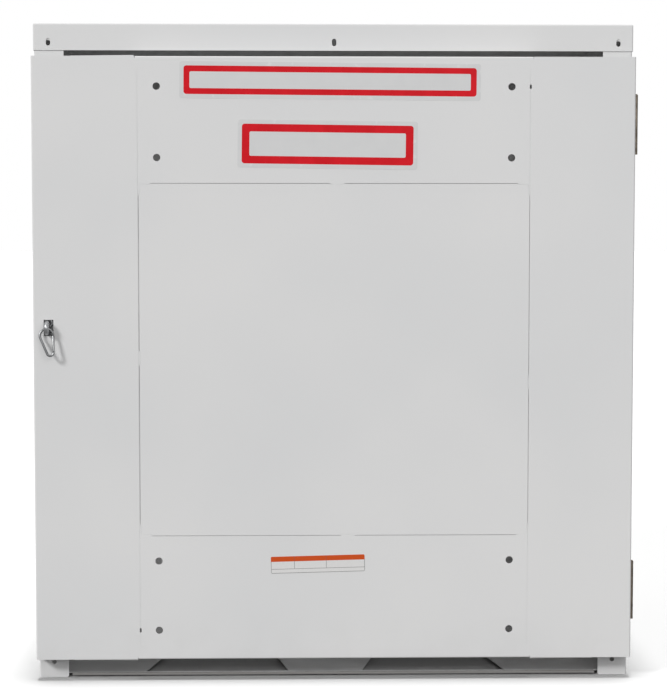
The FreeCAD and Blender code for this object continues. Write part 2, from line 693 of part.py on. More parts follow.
def door_skin():
    """The door's front sheet, folded back at both sides and, between the stiles, top and bottom."""
    body = new_body("door_skin")
    skin_back = f"({door_front} + sheet_thickness)"
    face = new_sketch(body, "front", skin_back)
    draw_rectangle(face, f"-{half_door}", half_door, "door_bottom", door_top)
    pad(body, face, "sheet_thickness")
    sides = new_sketch(body, "above", "door_bottom")
    for sign in ("-1", "1"):
        draw_rectangle(sides, f"{sign} * {half_door}", f"{sign} * ({half_door} - sheet_thickness)",
                       door_front, door_back)
    pad(body, sides, f"{door_top} - door_bottom")
    folds = new_sketch(body, "side", f"-{fold_end}")
    draw_rectangle(folds, door_front, door_back, f"{door_top} - sheet_thickness", door_top)
    draw_rectangle(folds, door_front, door_back, "door_bottom", "door_bottom + sheet_thickness")
    pad(body, folds, f"2 * {fold_end}")
    reliefs = new_sketch(body, "front", door_front)
    for sign in ("-1", "1"):
        start = f"{sign} * {fold_end}"
        end = f"{sign} * stile_start"
        draw_rectangle(reliefs, start, end,
                       f"{door_top} - relief_depth", f"{door_top} + sheet_thickness")
        draw_rectangle(reliefs, start, end,
                       "door_bottom - sheet_thickness", "door_bottom + relief_depth")
    pocket(body, reliefs, through_sheet)
    round_edges(body, outer_bend, lambda spot: near(spot, y=door_front) and (
        near(spot, x=half_door) or near(spot, x=f"-{half_door}")
        or near(spot, x="0", z=door_top) or near(spot, x="0", z="door_bottom")))
    return body


def cut_door_holes(body):
    """Fixing holes, the slot for the staple, locating slots, weld creases and the pre-cut panel."""
    columns = ("-sign_hole_offset", "sign_hole_offset")
    rows = ("door_bottom + sign_outer_inset", "door_bottom + sign_inner_inset",
            f"{door_top} - sign_inner_inset", f"{door_top} - sign_outer_inset")
    drill(body, "front", door_front, [(x, z) for x in columns for z in rows], "sign_hole")
    latch = new_sketch(body, "front", door_front)
    draw_rectangle(latch, latch_slot_left, latch_slot_right,
                   "latch_height - latch_slot_length / 2", "latch_height + latch_slot_length / 2")
    pocket(body, latch, through_sheet)
    locating = new_sketch(body, "front", door_front)
    for x, z in ((f"-{crease_x}", rows[0]), (crease_x, rows[-1])):
        draw_upright_slot(locating, x, z, "weld_slot_width", "weld_slot_length")
    pocket(body, locating, through_sheet)
    creases = new_sketch(body, "front", door_front)
    for sign in ("-1", "1"):
        draw_rectangle(creases, f"{sign} * {crease_x} - crease_width / 2",
                       f"{sign} * {crease_x} + crease_width / 2",
                       "door_bottom + door_depth", f"{door_top} - door_depth")
    pocket(body, creases, "2 * crease_depth")


def cut_knockout(body):
    """The cut line of the pre-cut panel, with a bridge near the middle of each side."""
    half_slot = "(knockout_slot / 2)"
    half_bridge = "(knockout_bridge / 2)"
    lines = new_sketch(body, "front", door_front)
    for sign, shift in (("1", "bridge_top_shift"), ("-1", "bridge_bottom_shift")):
        level = f"({door_middle} + {sign} * {knockout_high})"
        for start, end in ((f"knockout_corner - {knockout_side}", f"{shift} - {half_bridge}"),
                           (f"{shift} + {half_bridge}", f"{knockout_side} - knockout_corner")):
            draw_rectangle(lines, start, end, f"{level} - {half_slot}", f"{level} + {half_slot}")
    for sign, shift in (("-1", "bridge_left_shift"), ("1", "bridge_right_shift")):
        level = f"({sign} * {knockout_side})"
        for start, end in ((f"knockout_corner - {knockout_high}", f"{shift} - {half_bridge}"),
                           (f"{shift} + {half_bridge}", f"{knockout_high} - knockout_corner")):
            draw_rectangle(lines, f"{level} - {half_slot}", f"{level} + {half_slot}",
                           f"{door_middle} + {start}", f"{door_middle} + {end}")
    pocket(body, lines, through_sheet)


def score_knockout(body):
    """Shallow lines just inside the cuts, at the corners and bridges of the pre-cut panel."""
    edges = ["score_inset", "(score_inset + score_width)"]
    half_bridge = "(knockout_bridge / 2)"
    lines = new_sketch(body, "front", door_front)
    for x_sign in ("-1", "1"):
        for z_sign in ("-1", "1"):
            reaches = edges + ["knockout_corner"]
            x = [f"{x_sign} * ({knockout_side} - {reach})" for reach in reaches]
            z = [f"{door_middle} + {z_sign} * ({knockout_high} - {reach})" for reach in reaches]
            draw_outline(lines, [
                (x[0], z[0]), (x[2], z[0]), (x[2], z[1]), (x[1], z[1]), (x[1], z[2]), (x[0], z[2])])
    for sign, shift in (("1", "bridge_top_shift"), ("-1", "bridge_bottom_shift")):
        low, high = [f"{door_middle} + {sign} * ({knockout_high} - {reach})" for reach in edges]
        draw_rectangle(lines, f"{shift} - {half_bridge}", f"{shift} + {half_bridge}", low, high)
    for sign, shift in (("-1", "bridge_left_shift"), ("1", "bridge_right_shift")):
        left, right = [f"{sign} * ({knockout_side} - {reach})" for reach in edges]
        draw_rectangle(lines, left, right, f"{door_middle} + {shift} - {half_bridge}",
                       f"{door_middle} + {shift} + {half_bridge}")
    pocket(body, lines, "2 * score_depth")


stile_low = "(door_bottom - stile_drop)"
stile_high = f"({door_top} - stile_top_gap)"
lower_tab = (stile_low, "(door_bottom - tab_drop)", "+ tab_taper")
upper_tab = (stile_high, f"({door_top} + tab_rise)", "- tab_taper")


def door_stile(label, sign, tabs):
    """A folded sheet that closes one side of the door from behind and stiffens it.

    tabs gives the root, the tip and the taper of each tab that stands past an end of the stile.
    """
    body = new_body(label)
    outer = f"({sign} * ({half_door} - sheet_thickness))"
    inner = f"({sign} * stile_start)"
    web = f"({sign} * (stile_start + sheet_thickness))"
    skin_back = f"({door_front} + sheet_thickness)"
    profile = new_sketch(body, "above", stile_low)
    draw_outline(profile, [
        (inner, skin_back), (inner, door_back),
        (outer, door_back), (outer, f"({door_back} - sheet_thickness)"),
        (web, f"({door_back} - sheet_thickness)"), (web, skin_back),
    ])
    pad(body, profile, f"{stile_high} - {stile_low}")
    round_edges(body, outer_bend, lambda spot: near(spot, x=inner, y=door_back))
    tab_start = f"({sign} * (stile_start + {outer_bend}))"
    tab_end = f"({sign} * (stile_start + tab_length))"
    outlines = new_sketch(body, "front", door_back)
    for root, tip, taper in tabs:
        draw_outline(outlines, [
            (tab_start, root), (tab_start, tip), (tab_end, f"{tip} {taper}"), (tab_end, root)])
    pad(body, outlines, "sheet_thickness")
    return body


skin = door_skin()
cut_door_holes(skin)
cut_knockout(skin)
score_knockout(skin)
latch_stile = door_stile("latch_stile", "-1", [lower_tab, upper_tab])
stile_slot = new_sketch(latch_stile, "front", door_back)
draw_rectangle(stile_slot, latch_slot_left, f"{latch_slot_right} + stile_slot_margin",
               "latch_height - latch_slot_length / 2 - stile_slot_margin",
               "latch_height + latch_slot_length / 2 + stile_slot_margin")
pocket(latch_stile, stile_slot, through_sheet)
hinge_stile = door_stile("hinge_stile", "1", [lower_tab])
drill(hinge_stile, "front", door_back, frame_rivets, hole_width)


def film(label, width, height, shift, low, turn="0"):
    """A thin blank film stuck on the door, turned about its middle by some degrees."""
    sheet = doc.addObject("Part::Box", label)
    bind(sheet, Length=width, Width="film_thickness", Height=height)
    askew = FreeCAD.Rotation(FreeCAD.Vector(0, -1, 0), number(turn))
    sheet.Placement = FreeCAD.Placement(FreeCAD.Vector(), askew)
    level = f"cos({turn} * 1 deg)"
    slope = f"sin({turn} * 1 deg)"
    place(sheet, f"{shift} - ({width} * {level} - {height} * {slope}) / 2",
          f"{door_front} - film_thickness",
          f"{low} + ({height} - {width} * {slope} - {height} * {level}) / 2")
    keep(label, sheet)


film("upper_sign_film", "upper_film_width", "upper_film_height", "upper_film_shift",
     f"({door_top} - upper_film_drop - upper_film_height)")
film("lower_sign_film", "lower_film_width", "lower_film_height", "lower_film_shift",
     f"({door_top} - lower_film_drop - lower_film_height)")
film("small_label", "label_width", "label_height", "label_shift", "(door_bottom + label_rise)", "label_turn")


# Hinges

def hinge_leaf(label, height, leaf_faces, first_knuckle):
    """One leaf with every second knuckle, drilled for the pin and recessed for its rivets.

    leaf_faces gives the y of the face that seats on the sheet and of the free face.
    """
    seat, free = leaf_faces
    low = f"({height} - hinge_length / 2)"
    pitch = f"(hinge_length / {KNUCKLES})"
    notch = f"({hinge_x} - knuckle_width / 2 - hinge_clear)"
    thickness = (seat, free) if number(seat) < number(free) else (free, seat)
    solids = [box((f"{hinge_x} - leaf_width", notch), thickness, (low, f"{low} + hinge_length"))]
    for index in range(first_knuckle, KNUCKLES, 2):
        start = f"({low} + {index} * {pitch} + knuckle_gap / 2)"
        length = f"({pitch} - knuckle_gap)"
        solids.append(box((notch, hinge_x), thickness, (start, f"{start} + {length}")))
        solids.append(cylinder((hinge_x, hinge_y, start), "+z", "knuckle_width", length))
    tools = [cylinder((hinge_x, hinge_y, low), "+z", "pin_width + 2 * pin_fit", "hinge_length")]
    inward = "+y" if number(free) < number(seat) else "-y"
    for step in leaf_rivet_steps:
        spot = (leaf_rivet_x, free, f"({height} + {step})")
        tools.append(cylinder(spot, inward, hole_width, "leaf_thickness"))
        tools.append(cylinder(spot, inward, "rivet_head + 2 * recess_fit", "leaf_recess"))
    keep(label, cut(join(solids), tools))


frame_leaf_face = f"({front} - leaf_thickness)"
door_leaf_face = f"({door_back} + leaf_thickness)"
for name, height in hinge_heights.items():
    hinge_leaf(f"{name}_hinge_frame_leaf", height, (front, frame_leaf_face), 0)
    hinge_leaf(f"{name}_hinge_door_leaf", height, (door_back, door_leaf_face), 1)
    top = f"({height} + hinge_length / 2)"
    shaft = cylinder((hinge_x, hinge_y, f"({height} - hinge_length / 2)"), "+z", "pin_width", "hinge_length")
    head = cylinder((hinge_x, hinge_y, top), "+z", "pin_head", "pin_head_height")
    keep(f"{name}_hinge_pin", join([shaft, head]))

leaf_grip = "(leaf_thickness + sheet_thickness)"
group("hinge_frame_rivets", [
    rivet((x, frame_leaf_face, z), "+y", leaf_grip, "leaf_rivet_head_height", "leaf_recess")
    for x, z in frame_rivets])
group("hinge_door_rivets", [
    rivet((x, door_leaf_face, z), "-y", leaf_grip, "leaf_rivet_head_height", "leaf_recess")
    for x, z in frame_rivets])


# Latch staple, its nuts and plate, and the bumpers that stop the door

staple_bend_y = f"({door_front} - staple_reach)"
staple_end = f"({front_inside} + staple_tail)"
bend = doc.addObject("Part::Torus", "staple_bend")
half_turn = FreeCAD.Rotation(FreeCAD.Vector(1, 0, 0), 180)
bend.Placement = FreeCAD.Placement(FreeCAD.Vector(), half_turn * TURNS["+x"])
bend.Angle3 = 180
bind(bend, Radius1="staple_span / 2", Radius2="staple_wire / 2")
place(bend, latch_x, staple_bend_y, "latch_height")
legs = [
    cylinder((latch_x, staple_bend_y, z), "+y", "staple_wire", f"{staple_end} - {staple_bend_y}")
    for z in staple_heights]
keep("latch_staple", join([bend] + legs))

plate_back = f"({front_inside} + plate_thickness)"
plate = box((f"{latch_x} - plate_width / 2", f"{latch_x} + plate_width / 2"), (front_inside, plate_back),
            ("latch_height - plate_height / 2", "latch_height + plate_height / 2"))
plate_holes = [
    cylinder((latch_x, front_inside, z), "+y", staple_hole, "plate_thickness") for z in staple_heights]
keep("staple_plate", cut(plate, plate_holes))


def nut(base, direction):
    prism = doc.addObject("Part::Prism", "nut_blank")
    prism.Polygon = 6
    prism.Placement = FreeCAD.Placement(FreeCAD.Vector(), TURNS[direction])
    bind(prism, Circumradius="nut_flats / sqrt(3)", Height="nut_height")
    place(prism, *base)
    return cut(prism, [cylinder(base, direction, "staple_wire + 2 * nut_fit", "nut_height")])


group("staple_nuts", [nut((latch_x, face, z), direction)
                      for face, direction in ((front, "-y"), (plate_back, "+y")) for z in staple_heights])

bumper_x = f"(bumper_inset - {half_body})"
group("door_bumpers", [
    cylinder((bumper_x, front, f"({door_middle} + {sign} * bumper_spread)"), "-y", "bumper_width",
             f"{door_gap} - bumper_gap") for sign in ("-1", "1")])


# Snap clip that hangs in the staple: a pear-shaped loop of wire with a pivoting gate.
# It is drawn upright, with the middle of the wire at the top of the loop as its origin.

centre_distance = "(clip_length - clip_wire - clip_top_radius - clip_bottom_radius)"
taper = math.asin(number(f"(clip_top_radius - clip_bottom_radius) / {centre_distance}"))
upward = FreeCAD.Vector(math.sin(taper), 0, math.cos(taper))
outward = FreeCAD.Vector(math.cos(taper), 0, -math.sin(taper))
top_centre = FreeCAD.Vector(0, 0, -number("clip_top_radius"))
bottom_centre = top_centre - FreeCAD.Vector(0, 0, number(centre_distance))
gate_foot = bottom_centre + outward * number("clip_bottom_radius")
gate_side = number(f"sqrt({centre_distance} ^ 2 - (clip_top_radius - clip_bottom_radius) ^ 2)")
pivot = gate_foot + upward * number("clip_wire / 2 + gate_gap")
along_gate = FreeCAD.Rotation(FreeCAD.Vector(0, 0, 1), upward)
across_gate = TURNS["-y"]


def arc_of_wire(centre, radius, start, sweep):
    """Part of a ring of wire in the clip's plane, from a start angle in degrees."""
    ring = doc.addObject("Part::Torus", "clip_arc")
    turn = TURNS["-y"] * FreeCAD.Rotation(FreeCAD.Vector(0, 0, 1), start)
    ring.Placement = FreeCAD.Placement(centre, turn)
    ring.Angle3 = sweep
    bind(ring, Radius1=radius, Radius2="clip_wire / 2")
    return ring


def clip_rod(base, turn, width, length):
    rod = doc.addObject("Part::Cylinder", "clip_rod")
    rod.Placement = FreeCAD.Placement(base, turn)
    bind(rod, Radius=f"({width}) / 2", Height=length)
    return rod


def across(width, length):
    """A round solid on the gate's pivot, across the clip's plane and centred on it."""
    start = pivot + FreeCAD.Vector(0, number(length) / 2, 0)
    return clip_rod(start, across_gate, width, length)


def hang_clip(piece):
    """Hang a piece of the clip in the staple, leaning off the door and a little askew."""
    lean = FreeCAD.Rotation(FreeCAD.Vector(1, 0, 0), -number("clip_lean"))
    tilt = FreeCAD.Rotation(FreeCAD.Vector(0, 1, 0), -number("clip_tilt"))
    piece.Placement = FreeCAD.Placement(FreeCAD.Vector(), lean * tilt)
    free_radius = "(clip_top_radius - clip_wire / 2 - staple_wire / 2 - clip_seat)"
    askew = "(clip_slip + clip_top_radius * sin(clip_tilt * 1 deg))"
    crown = f"(clip_top_radius * cos(clip_tilt * 1 deg) - sqrt({free_radius} ^ 2 - clip_slip ^ 2))"
    place(piece, f"{latch_x} - {askew}", f"{door_front} - clip_stand", f"{staple_heights[0]} + {crown}")


angle = math.degrees(taper)
left_foot = bottom_centre + FreeCAD.Vector(-outward.x, 0, outward.z) * number("clip_bottom_radius")
left_turn = FreeCAD.Rotation(FreeCAD.Vector(0, 0, 1), FreeCAD.Vector(-upward.x, 0, upward.z))
wire = [
    arc_of_wire(top_centre, "clip_top_radius", -angle, 180 + 2 * angle),
    arc_of_wire(bottom_centre, "clip_bottom_radius", 180 + angle, 180 - 2 * angle),
    clip_rod(left_foot, left_turn, "clip_wire", str(gate_side)),
]
tongue_root = doc.addObject("Part::Box", "tongue_root")
bind(tongue_root, Length="tongue_width", Width="tongue_thickness", Height="clip_wire + gate_gap")
corner = FreeCAD.Vector(-number("tongue_width"), -number("tongue_thickness"), -number("clip_wire")) / 2
tongue_root.Placement = FreeCAD.Placement(gate_foot + along_gate.multVec(corner), along_gate)
wire += [tongue_root, across("tongue_width", "tongue_thickness")]
pin_hole = "(clip_pin_width + 2 * clip_pin_fit)"
clip_body = keep("clip_body", cut(join(wire), [across(pin_hole, "clip_wire")]))
hang_clip(clip_body)

gate_length = f"{gate_side} - clip_wire / 2 - 2 * gate_gap"
gate_end = doc.addObject("Part::Sphere", "gate_end")
gate_end.Placement = FreeCAD.Placement(pivot, along_gate)
bind(gate_end, Radius="clip_wire / 2")
gate_solid = join([clip_rod(pivot, along_gate, "clip_wire", gate_length), gate_end])
fork = across("clip_wire + 2 * gate_gap", "tongue_thickness + 2 * gate_play")
clip_gate = keep("clip_gate", cut(gate_solid, [fork, across(pin_hole, "2 * clip_wire")]))
hang_clip(clip_gate)
hang_clip(group("clip_pin", [across("clip_pin_width", "clip_pin_length")]))

doc.recompute()
for thing in doc.Objects:
    if "Invalid" in thing.State or "Error" in thing.State:
        raise RuntimeError(f"{thing.Label} failed: {thing.State}")
for piece in nodes:
    if piece.Shape.isNull() or not piece.Shape.isValid():
        raise RuntimeError(f"{piece.Label} has no valid shape")
os.makedirs("parts", exist_ok=True)
for piece in nodes:
    piece.Shape.exportStep(f"parts/{piece.Label}.step")
print(f"{len(nodes)} pieces written")
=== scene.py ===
# %% [markdown]
# # A gas bottle cabinet of folded sheet
# The CAD model already has every sheet, fold, slot and hole of the cabinet at its real size. This lesson
# keeps those sheets as they are and gives them their finish. The small hardware that a hand touches or an
# eye rests on, such as rivets, nuts, the staple and the snap clip, is modelled again with softer forms.
# We start by loading the CAD model as a fixed frame.

# %% Load the frame
import json
import math

import bmesh
import bpy
from mathutils import Matrix, Vector


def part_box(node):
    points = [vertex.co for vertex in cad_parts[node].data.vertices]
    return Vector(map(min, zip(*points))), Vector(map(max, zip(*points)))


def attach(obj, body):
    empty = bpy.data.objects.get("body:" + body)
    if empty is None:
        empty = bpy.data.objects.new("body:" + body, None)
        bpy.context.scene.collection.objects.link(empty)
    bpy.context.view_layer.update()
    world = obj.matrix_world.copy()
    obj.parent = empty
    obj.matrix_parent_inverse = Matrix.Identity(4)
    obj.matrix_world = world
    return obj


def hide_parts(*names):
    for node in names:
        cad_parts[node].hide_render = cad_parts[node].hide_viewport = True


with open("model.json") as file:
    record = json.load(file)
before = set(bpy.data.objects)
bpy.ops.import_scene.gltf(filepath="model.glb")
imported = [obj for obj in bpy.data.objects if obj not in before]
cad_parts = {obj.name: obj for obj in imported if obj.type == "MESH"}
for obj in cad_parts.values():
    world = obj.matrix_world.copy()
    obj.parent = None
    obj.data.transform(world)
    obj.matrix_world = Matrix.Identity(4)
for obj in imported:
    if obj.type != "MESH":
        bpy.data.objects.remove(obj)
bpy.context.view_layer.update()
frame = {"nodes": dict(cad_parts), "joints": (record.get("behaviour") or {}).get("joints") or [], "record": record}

nodes = frame["nodes"]
MM = 0.001

# %% [markdown]
# ## Hands for modelling
# Each new piece begins as a primitive and is shaped in edit mode, either at its place or as a pattern
# that is copied there. Operators act on whatever is selected, so the first helper clears the selection
# before it adds anything, and the second one selects vertices, edges or faces by a test on where they are
# or how they face. The others extrude, close, copy, join and cut.

# %% Helpers that add, select and close
def begin(add_primitive, **settings):
    """Add a primitive by itself, put its place into its mesh and open it for editing."""
    bpy.ops.object.select_all(action="DESELECT")
    add_primitive(**settings)
    bpy.ops.object.transform_apply(location=True, rotation=True, scale=True)
    bpy.ops.object.mode_set(mode="EDIT")
    return bpy.context.active_object


def choose(piece, kind, wanted):
    """Select only the vertices, edges or faces that pass a test."""
    bpy.ops.mesh.select_mode(type=kind)
    bpy.ops.mesh.select_all(action="DESELECT")
    mesh = bmesh.from_edit_mesh(piece.data)
    items = {"VERT": mesh.verts, "EDGE": mesh.edges, "FACE": mesh.faces}[kind]
    for item in items:
        if wanted(item):
            item.select_set(True)
    bmesh.update_edit_mesh(piece.data)


def extrude(x=0.0, y=0.0, z=0.0):
    bpy.ops.mesh.extrude_region_move(TRANSFORM_OT_translate={"value": (x, y, z)})


def close(piece, name, crease_angle=32):
    """Merge doubles, turn the faces outwards, leave edit mode and smooth all but the sharp edges."""
    bpy.ops.mesh.select_mode(type="VERT")
    bpy.ops.mesh.select_all(action="SELECT")
    bpy.ops.mesh.remove_doubles(threshold=0.002 * MM)
    bpy.ops.mesh.normals_make_consistent(inside=False)
    bpy.ops.object.mode_set(mode="OBJECT")
    bpy.ops.object.shade_smooth_by_angle(angle=math.radians(crease_angle))
    piece.name = name
    piece.data.name = name
    return piece


def activate(*pieces):
    bpy.ops.object.select_all(action="DESELECT")
    for piece in pieces:
        piece.select_set(True)
    bpy.context.view_layer.objects.active = pieces[0]


def copy_at(pattern, place):
    """A copy with a mesh of its own, with its place put into that mesh."""
    activate(pattern)
    bpy.ops.object.duplicate(linked=False)
    piece = bpy.context.active_object
    piece.matrix_world = place
    bpy.ops.object.transform_apply(location=True, rotation=True, scale=True)
    return piece


def one_piece(pieces, name):
    """Join pieces into one object."""
    activate(*pieces)
    if len(pieces) > 1:
        bpy.ops.object.join()
    pieces[0].name = name
    pieces[0].data.name = name
    return pieces[0]


def discard(piece):
    activate(piece)
    bpy.ops.object.delete()


def boolean(piece, operation, tool):
    """Apply a Boolean with a tool piece, which is then thrown away."""
    activate(piece)
    change = piece.modifiers.new(operation, "BOOLEAN")
    change.operation = operation
    change.object = tool
    change.solver = "EXACT"
    bpy.ops.object.modifier_apply(modifier=change.name)
    discard(tool)
    activate(piece)


def settle(piece, body, node):
    """The piece rides on a body and stands for a CAD node, which it hides."""
    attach(piece, body)
    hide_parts(node)
    print(piece.name, "has", len(piece.data.polygons), "faces and stands for", node)


new_looks = {}

# %% [markdown]
# ## Where the fasteners are
# A CAD node such as the roof rivets is one mesh of several loose solids. Merging a copy of that mesh and
# walking over its connected vertices gives one box for each solid, so every new rivet or nut lands
# exactly on the one it stands for, with no list of places to keep in step.

# %% Find the separate solids of a node
def solids_of(node):
    """The lowest and highest corner of each separate solid in a CAD node."""
    mesh = bmesh.new()
    mesh.from_mesh(nodes[node].data)
    bmesh.ops.remove_doubles(mesh, verts=mesh.verts, dist=0.001 * MM)
    waiting = set(mesh.verts)
    boxes = []
    while waiting:
        edge_of_walk = [waiting.pop()]
        solid = []
        while edge_of_walk:
            vertex = edge_of_walk.pop()
            solid.append(vertex.co.copy())
            for edge in vertex.link_edges:
                other = edge.other_vert(vertex)
                if other in waiting:
                    waiting.remove(other)
                    edge_of_walk.append(other)
        low = Vector(min(spot[axis] for spot in solid) for axis in range(3))
        high = Vector(max(spot[axis] for spot in solid) for axis in range(3))
        boxes.append((low, high))
    mesh.free()
    return sorted(boxes, key=lambda box: tuple(box[0]))


print("rivets in the roof:", len(solids_of("roof_rivets")))

# %% [markdown]
# ## Blind rivets
# A blind rivet has a round-edged head with a small pit where its steel pin broke off, a shank, and a
# bulged end on the far side of the sheets. One rivet is modelled standing on its shank: a disc whose rim
# is bevelled, a pit made by inset and extrude, and below it the shank and the bulge. The hinges take a
# flatter head, so the height of the head is a setting.

# %% Model one rivet
RIVET_HEAD = 9.5 * MM
RIVET_SHANK = 4.8 * MM
RIVET_BULGE = 7.0 * MM
BULGE_HEIGHT = 1.6 * MM
RIVET_PIT = 2.6 * MM


def model_rivet(name, head_height, neck):
    """A rivet along +Z whose head starts at z = 0 and whose bulge ends below the neck."""
    rivet = begin(bpy.ops.mesh.primitive_cylinder_add, vertices=24, radius=RIVET_HEAD / 2,
                  depth=head_height, location=(0, 0, head_height / 2))
    rounding = 0.8 * head_height
    choose(rivet, "EDGE", lambda edge: all(v.co.z > 0.9 * head_height for v in edge.verts))
    bpy.ops.mesh.bevel(offset=rounding, segments=4, affect="EDGES")
    choose(rivet, "FACE", lambda face: face.normal.z > 0.99)
    bpy.ops.mesh.inset(thickness=RIVET_HEAD / 2 - rounding - RIVET_PIT / 2)
    extrude(z=-0.35 * head_height)
    choose(rivet, "FACE", lambda face: face.normal.z < -0.99)
    bpy.ops.mesh.inset(thickness=(RIVET_HEAD - RIVET_SHANK) / 2)
    extrude(z=-neck)
    widening = RIVET_BULGE / RIVET_SHANK
    extrude()
    bpy.ops.transform.resize(value=(widening, widening, 1), center_override=(0, 0, -neck))
    extrude(z=-BULGE_HEIGHT)
    end = -neck - 0.9 * BULGE_HEIGHT
    choose(rivet, "EDGE", lambda edge: all(v.co.z < end for v in edge.verts))
    bpy.ops.mesh.bevel(offset=0.45 * BULGE_HEIGHT, segments=3, affect="EDGES")
    return close(rivet, name)


def set_rivets(node, body, head_height, outward):
    """Put a rivet on each solid of a node; outward tells which way the head at a box's middle looks."""
    boxes = solids_of(node)
    low, high = boxes[0]
    axis = max(range(3), key=lambda i: abs(outward(low)[i]))
    pattern = model_rivet("rivet_pattern", head_height, (high - low)[axis] - head_height - BULGE_HEIGHT)
    copies = []
    for low, high in boxes:
        middle = (low + high) / 2
        direction = outward(middle)
        axis = max(range(3), key=lambda i: abs(direction[i]))
        under_head = middle.copy()
        under_head[axis] = high[axis] - head_height if direction[axis] > 0 else low[axis] + head_height
        turn = direction.to_track_quat("Z", "Y").to_matrix().to_4x4()
        copies.append(copy_at(pattern, Matrix.Translation(under_head) @ turn))
    discard(pattern)
    piece = one_piece(copies, node + "_formed")
    settle(piece, body, node)
    new_looks[piece.name] = "rivet"


# %% Set all the rivets
def sideways(middle):
    return Vector((1, 0, 0)) if middle.x > 0 else Vector((-1, 0, 0))


def from_floor(middle):
    rear_row = middle.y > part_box("back_panel")[0].y - 5 * MM
    return Vector((0, 1, 0)) if rear_row else sideways(middle)


DOMED = 1.6 * MM
FLUSH = 1.0 * MM
set_rivets("roof_rivets", "cabinet", DOMED, sideways)
set_rivets("shelf_rail_rivets", "cabinet", DOMED, sideways)
set_rivets("floor_rivets", "cabinet", DOMED, from_floor)
set_rivets("back_panel_rivets", "cabinet", DOMED, lambda middle: Vector((0, 1, 0)))
set_rivets("hinge_frame_rivets", "cabinet", FLUSH, lambda middle: Vector((0, -1, 0)))
set_rivets("hinge_door_rivets", "door", FLUSH, lambda middle: Vector((0, 1, 0)))

# %% [markdown]
# ## Staple
# The staple is a bent round bar with threaded legs, like a small U-bolt. It can be made from a curve with
# a bevel, but a circle that is extruded along one leg, spun half a turn and extruded back keeps the mesh
# even and leaves flat ends to chamfer. The thread itself is left to the finish, because its ridges are
# under a millimetre.

# %% Bend the staple
staple_low, staple_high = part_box("latch_staple")
bar = staple_high.x - staple_low.x
latch = (staple_low + staple_high) / 2
leg_gap = staple_high.z - staple_low.z - bar
bend_y = staple_low.y + bar / 2 + leg_gap / 2
leg_length = staple_high.y - bend_y

staple = begin(bpy.ops.mesh.primitive_circle_add, vertices=28, radius=bar / 2, fill_type="NGON",
               location=(latch.x, staple_high.y, latch.z - leg_gap / 2), rotation=(math.radians(90), 0, 0))
bpy.ops.mesh.select_all(action="SELECT")
extrude(y=-leg_length)
bpy.ops.mesh.spin(steps=20, angle=math.radians(180), center=(latch.x, bend_y, latch.z), axis=(1, 0, 0))
extrude(y=leg_length)
choose(staple, "EDGE", lambda edge: all(v.co.y > staple_high.y - 0.1 * MM for v in edge.verts))
bpy.ops.mesh.bevel(offset=1.0 * MM, segments=1, affect="EDGES")
close(staple, "bent_staple")
settle(staple, "cabinet", "latch_staple")
new_looks[staple.name] = "threaded"
spots = [vertex.co for vertex in staple.data.vertices]
spread = [max(spot[axis] for spot in spots) - min(spot[axis] for spot in spots) for axis in range(3)]
print("staple in mm:", [round(v / MM, 2) for v in spread])

# %% [markdown]
# ## Nuts
# A machined nut is hexagon bar whose corners were turned off by a lathe. The same three steps work here:
# a six-sided prism, cut down to a round blank with bevelled rims by a Boolean, and then drilled by
# another one.

# %% Turn one nut and set four
NUT_FLATS = 13 * MM
NUT_CHAMFER = 1.3 * MM
THREAD_PLAY = 0.05 * MM
nut_boxes = solids_of("staple_nuts")
nut_height = nut_boxes[0][1].y - nut_boxes[0][0].y
nut_corner = NUT_FLATS / math.sqrt(3)

nut = begin(bpy.ops.mesh.primitive_cylinder_add, vertices=6, radius=nut_corner, depth=nut_height)
close(nut, "nut_pattern")
blank = begin(bpy.ops.mesh.primitive_cylinder_add, vertices=48, radius=1.005 * nut_corner, depth=nut_height)
choose(blank, "EDGE", lambda edge: abs(edge.verts[0].co.z - edge.verts[1].co.z) < 0.01 * MM)
bpy.ops.mesh.bevel(offset=NUT_CHAMFER, segments=1, affect="EDGES")
bpy.ops.mesh.select_all(action="SELECT")
bpy.ops.transform.resize(value=(1.06, 1.06, 1), center_override=(0, 0, 0))
close(blank, "nut_blank")
boolean(nut, "INTERSECT", blank)
bore = begin(bpy.ops.mesh.primitive_cylinder_add, vertices=28, radius=bar / 2 + THREAD_PLAY,
             depth=3 * nut_height)
close(bore, "nut_bore")
boolean(nut, "DIFFERENCE", bore)
bpy.ops.object.shade_smooth_by_angle(angle=math.radians(25))
along_y = Matrix.Rotation(math.radians(90), 4, "X")
nuts = [copy_at(nut, Matrix.Translation((low + high) / 2) @ along_y) for low, high in nut_boxes]
discard(nut)
nuts = one_piece(nuts, "turned_nuts")
settle(nuts, "cabinet", "staple_nuts")
new_looks[nuts.name] = "zinc"

# %% [markdown]
# ## Snap clip
# The clip is one length of spring wire bent to a pear, with a gate that closes its side. It is modelled
# upright around its own crown: a circle at the gate's foot is spun round the narrow bend, extruded up the
# left side and spun round the wide bend. The foot gets a flat tongue, which the forked gate straddles on
# a small pin. A last step hangs the clip askew and off the door. The wide bend hangs askew under the
# staple's bar and a little off its middle, so the crown lies to the left of the joint on that bar.

# %% Sizes of the clip, upright
WIRE = 4 * MM
CLIP_LENGTH = 51 * MM
WIDE_BEND = 11.3 * MM
NARROW_BEND = 5.5 * MM
GATE_GAP = 0.3 * MM
TONGUE_ROOM = 2.0 * MM
GATE_PIN_RADIUS = 0.8 * MM
GATE_PIN_LENGTH = 4.6 * MM
LEAN = math.radians(12)
ASKEW = math.radians(13)
SLIP = 0.6 * MM

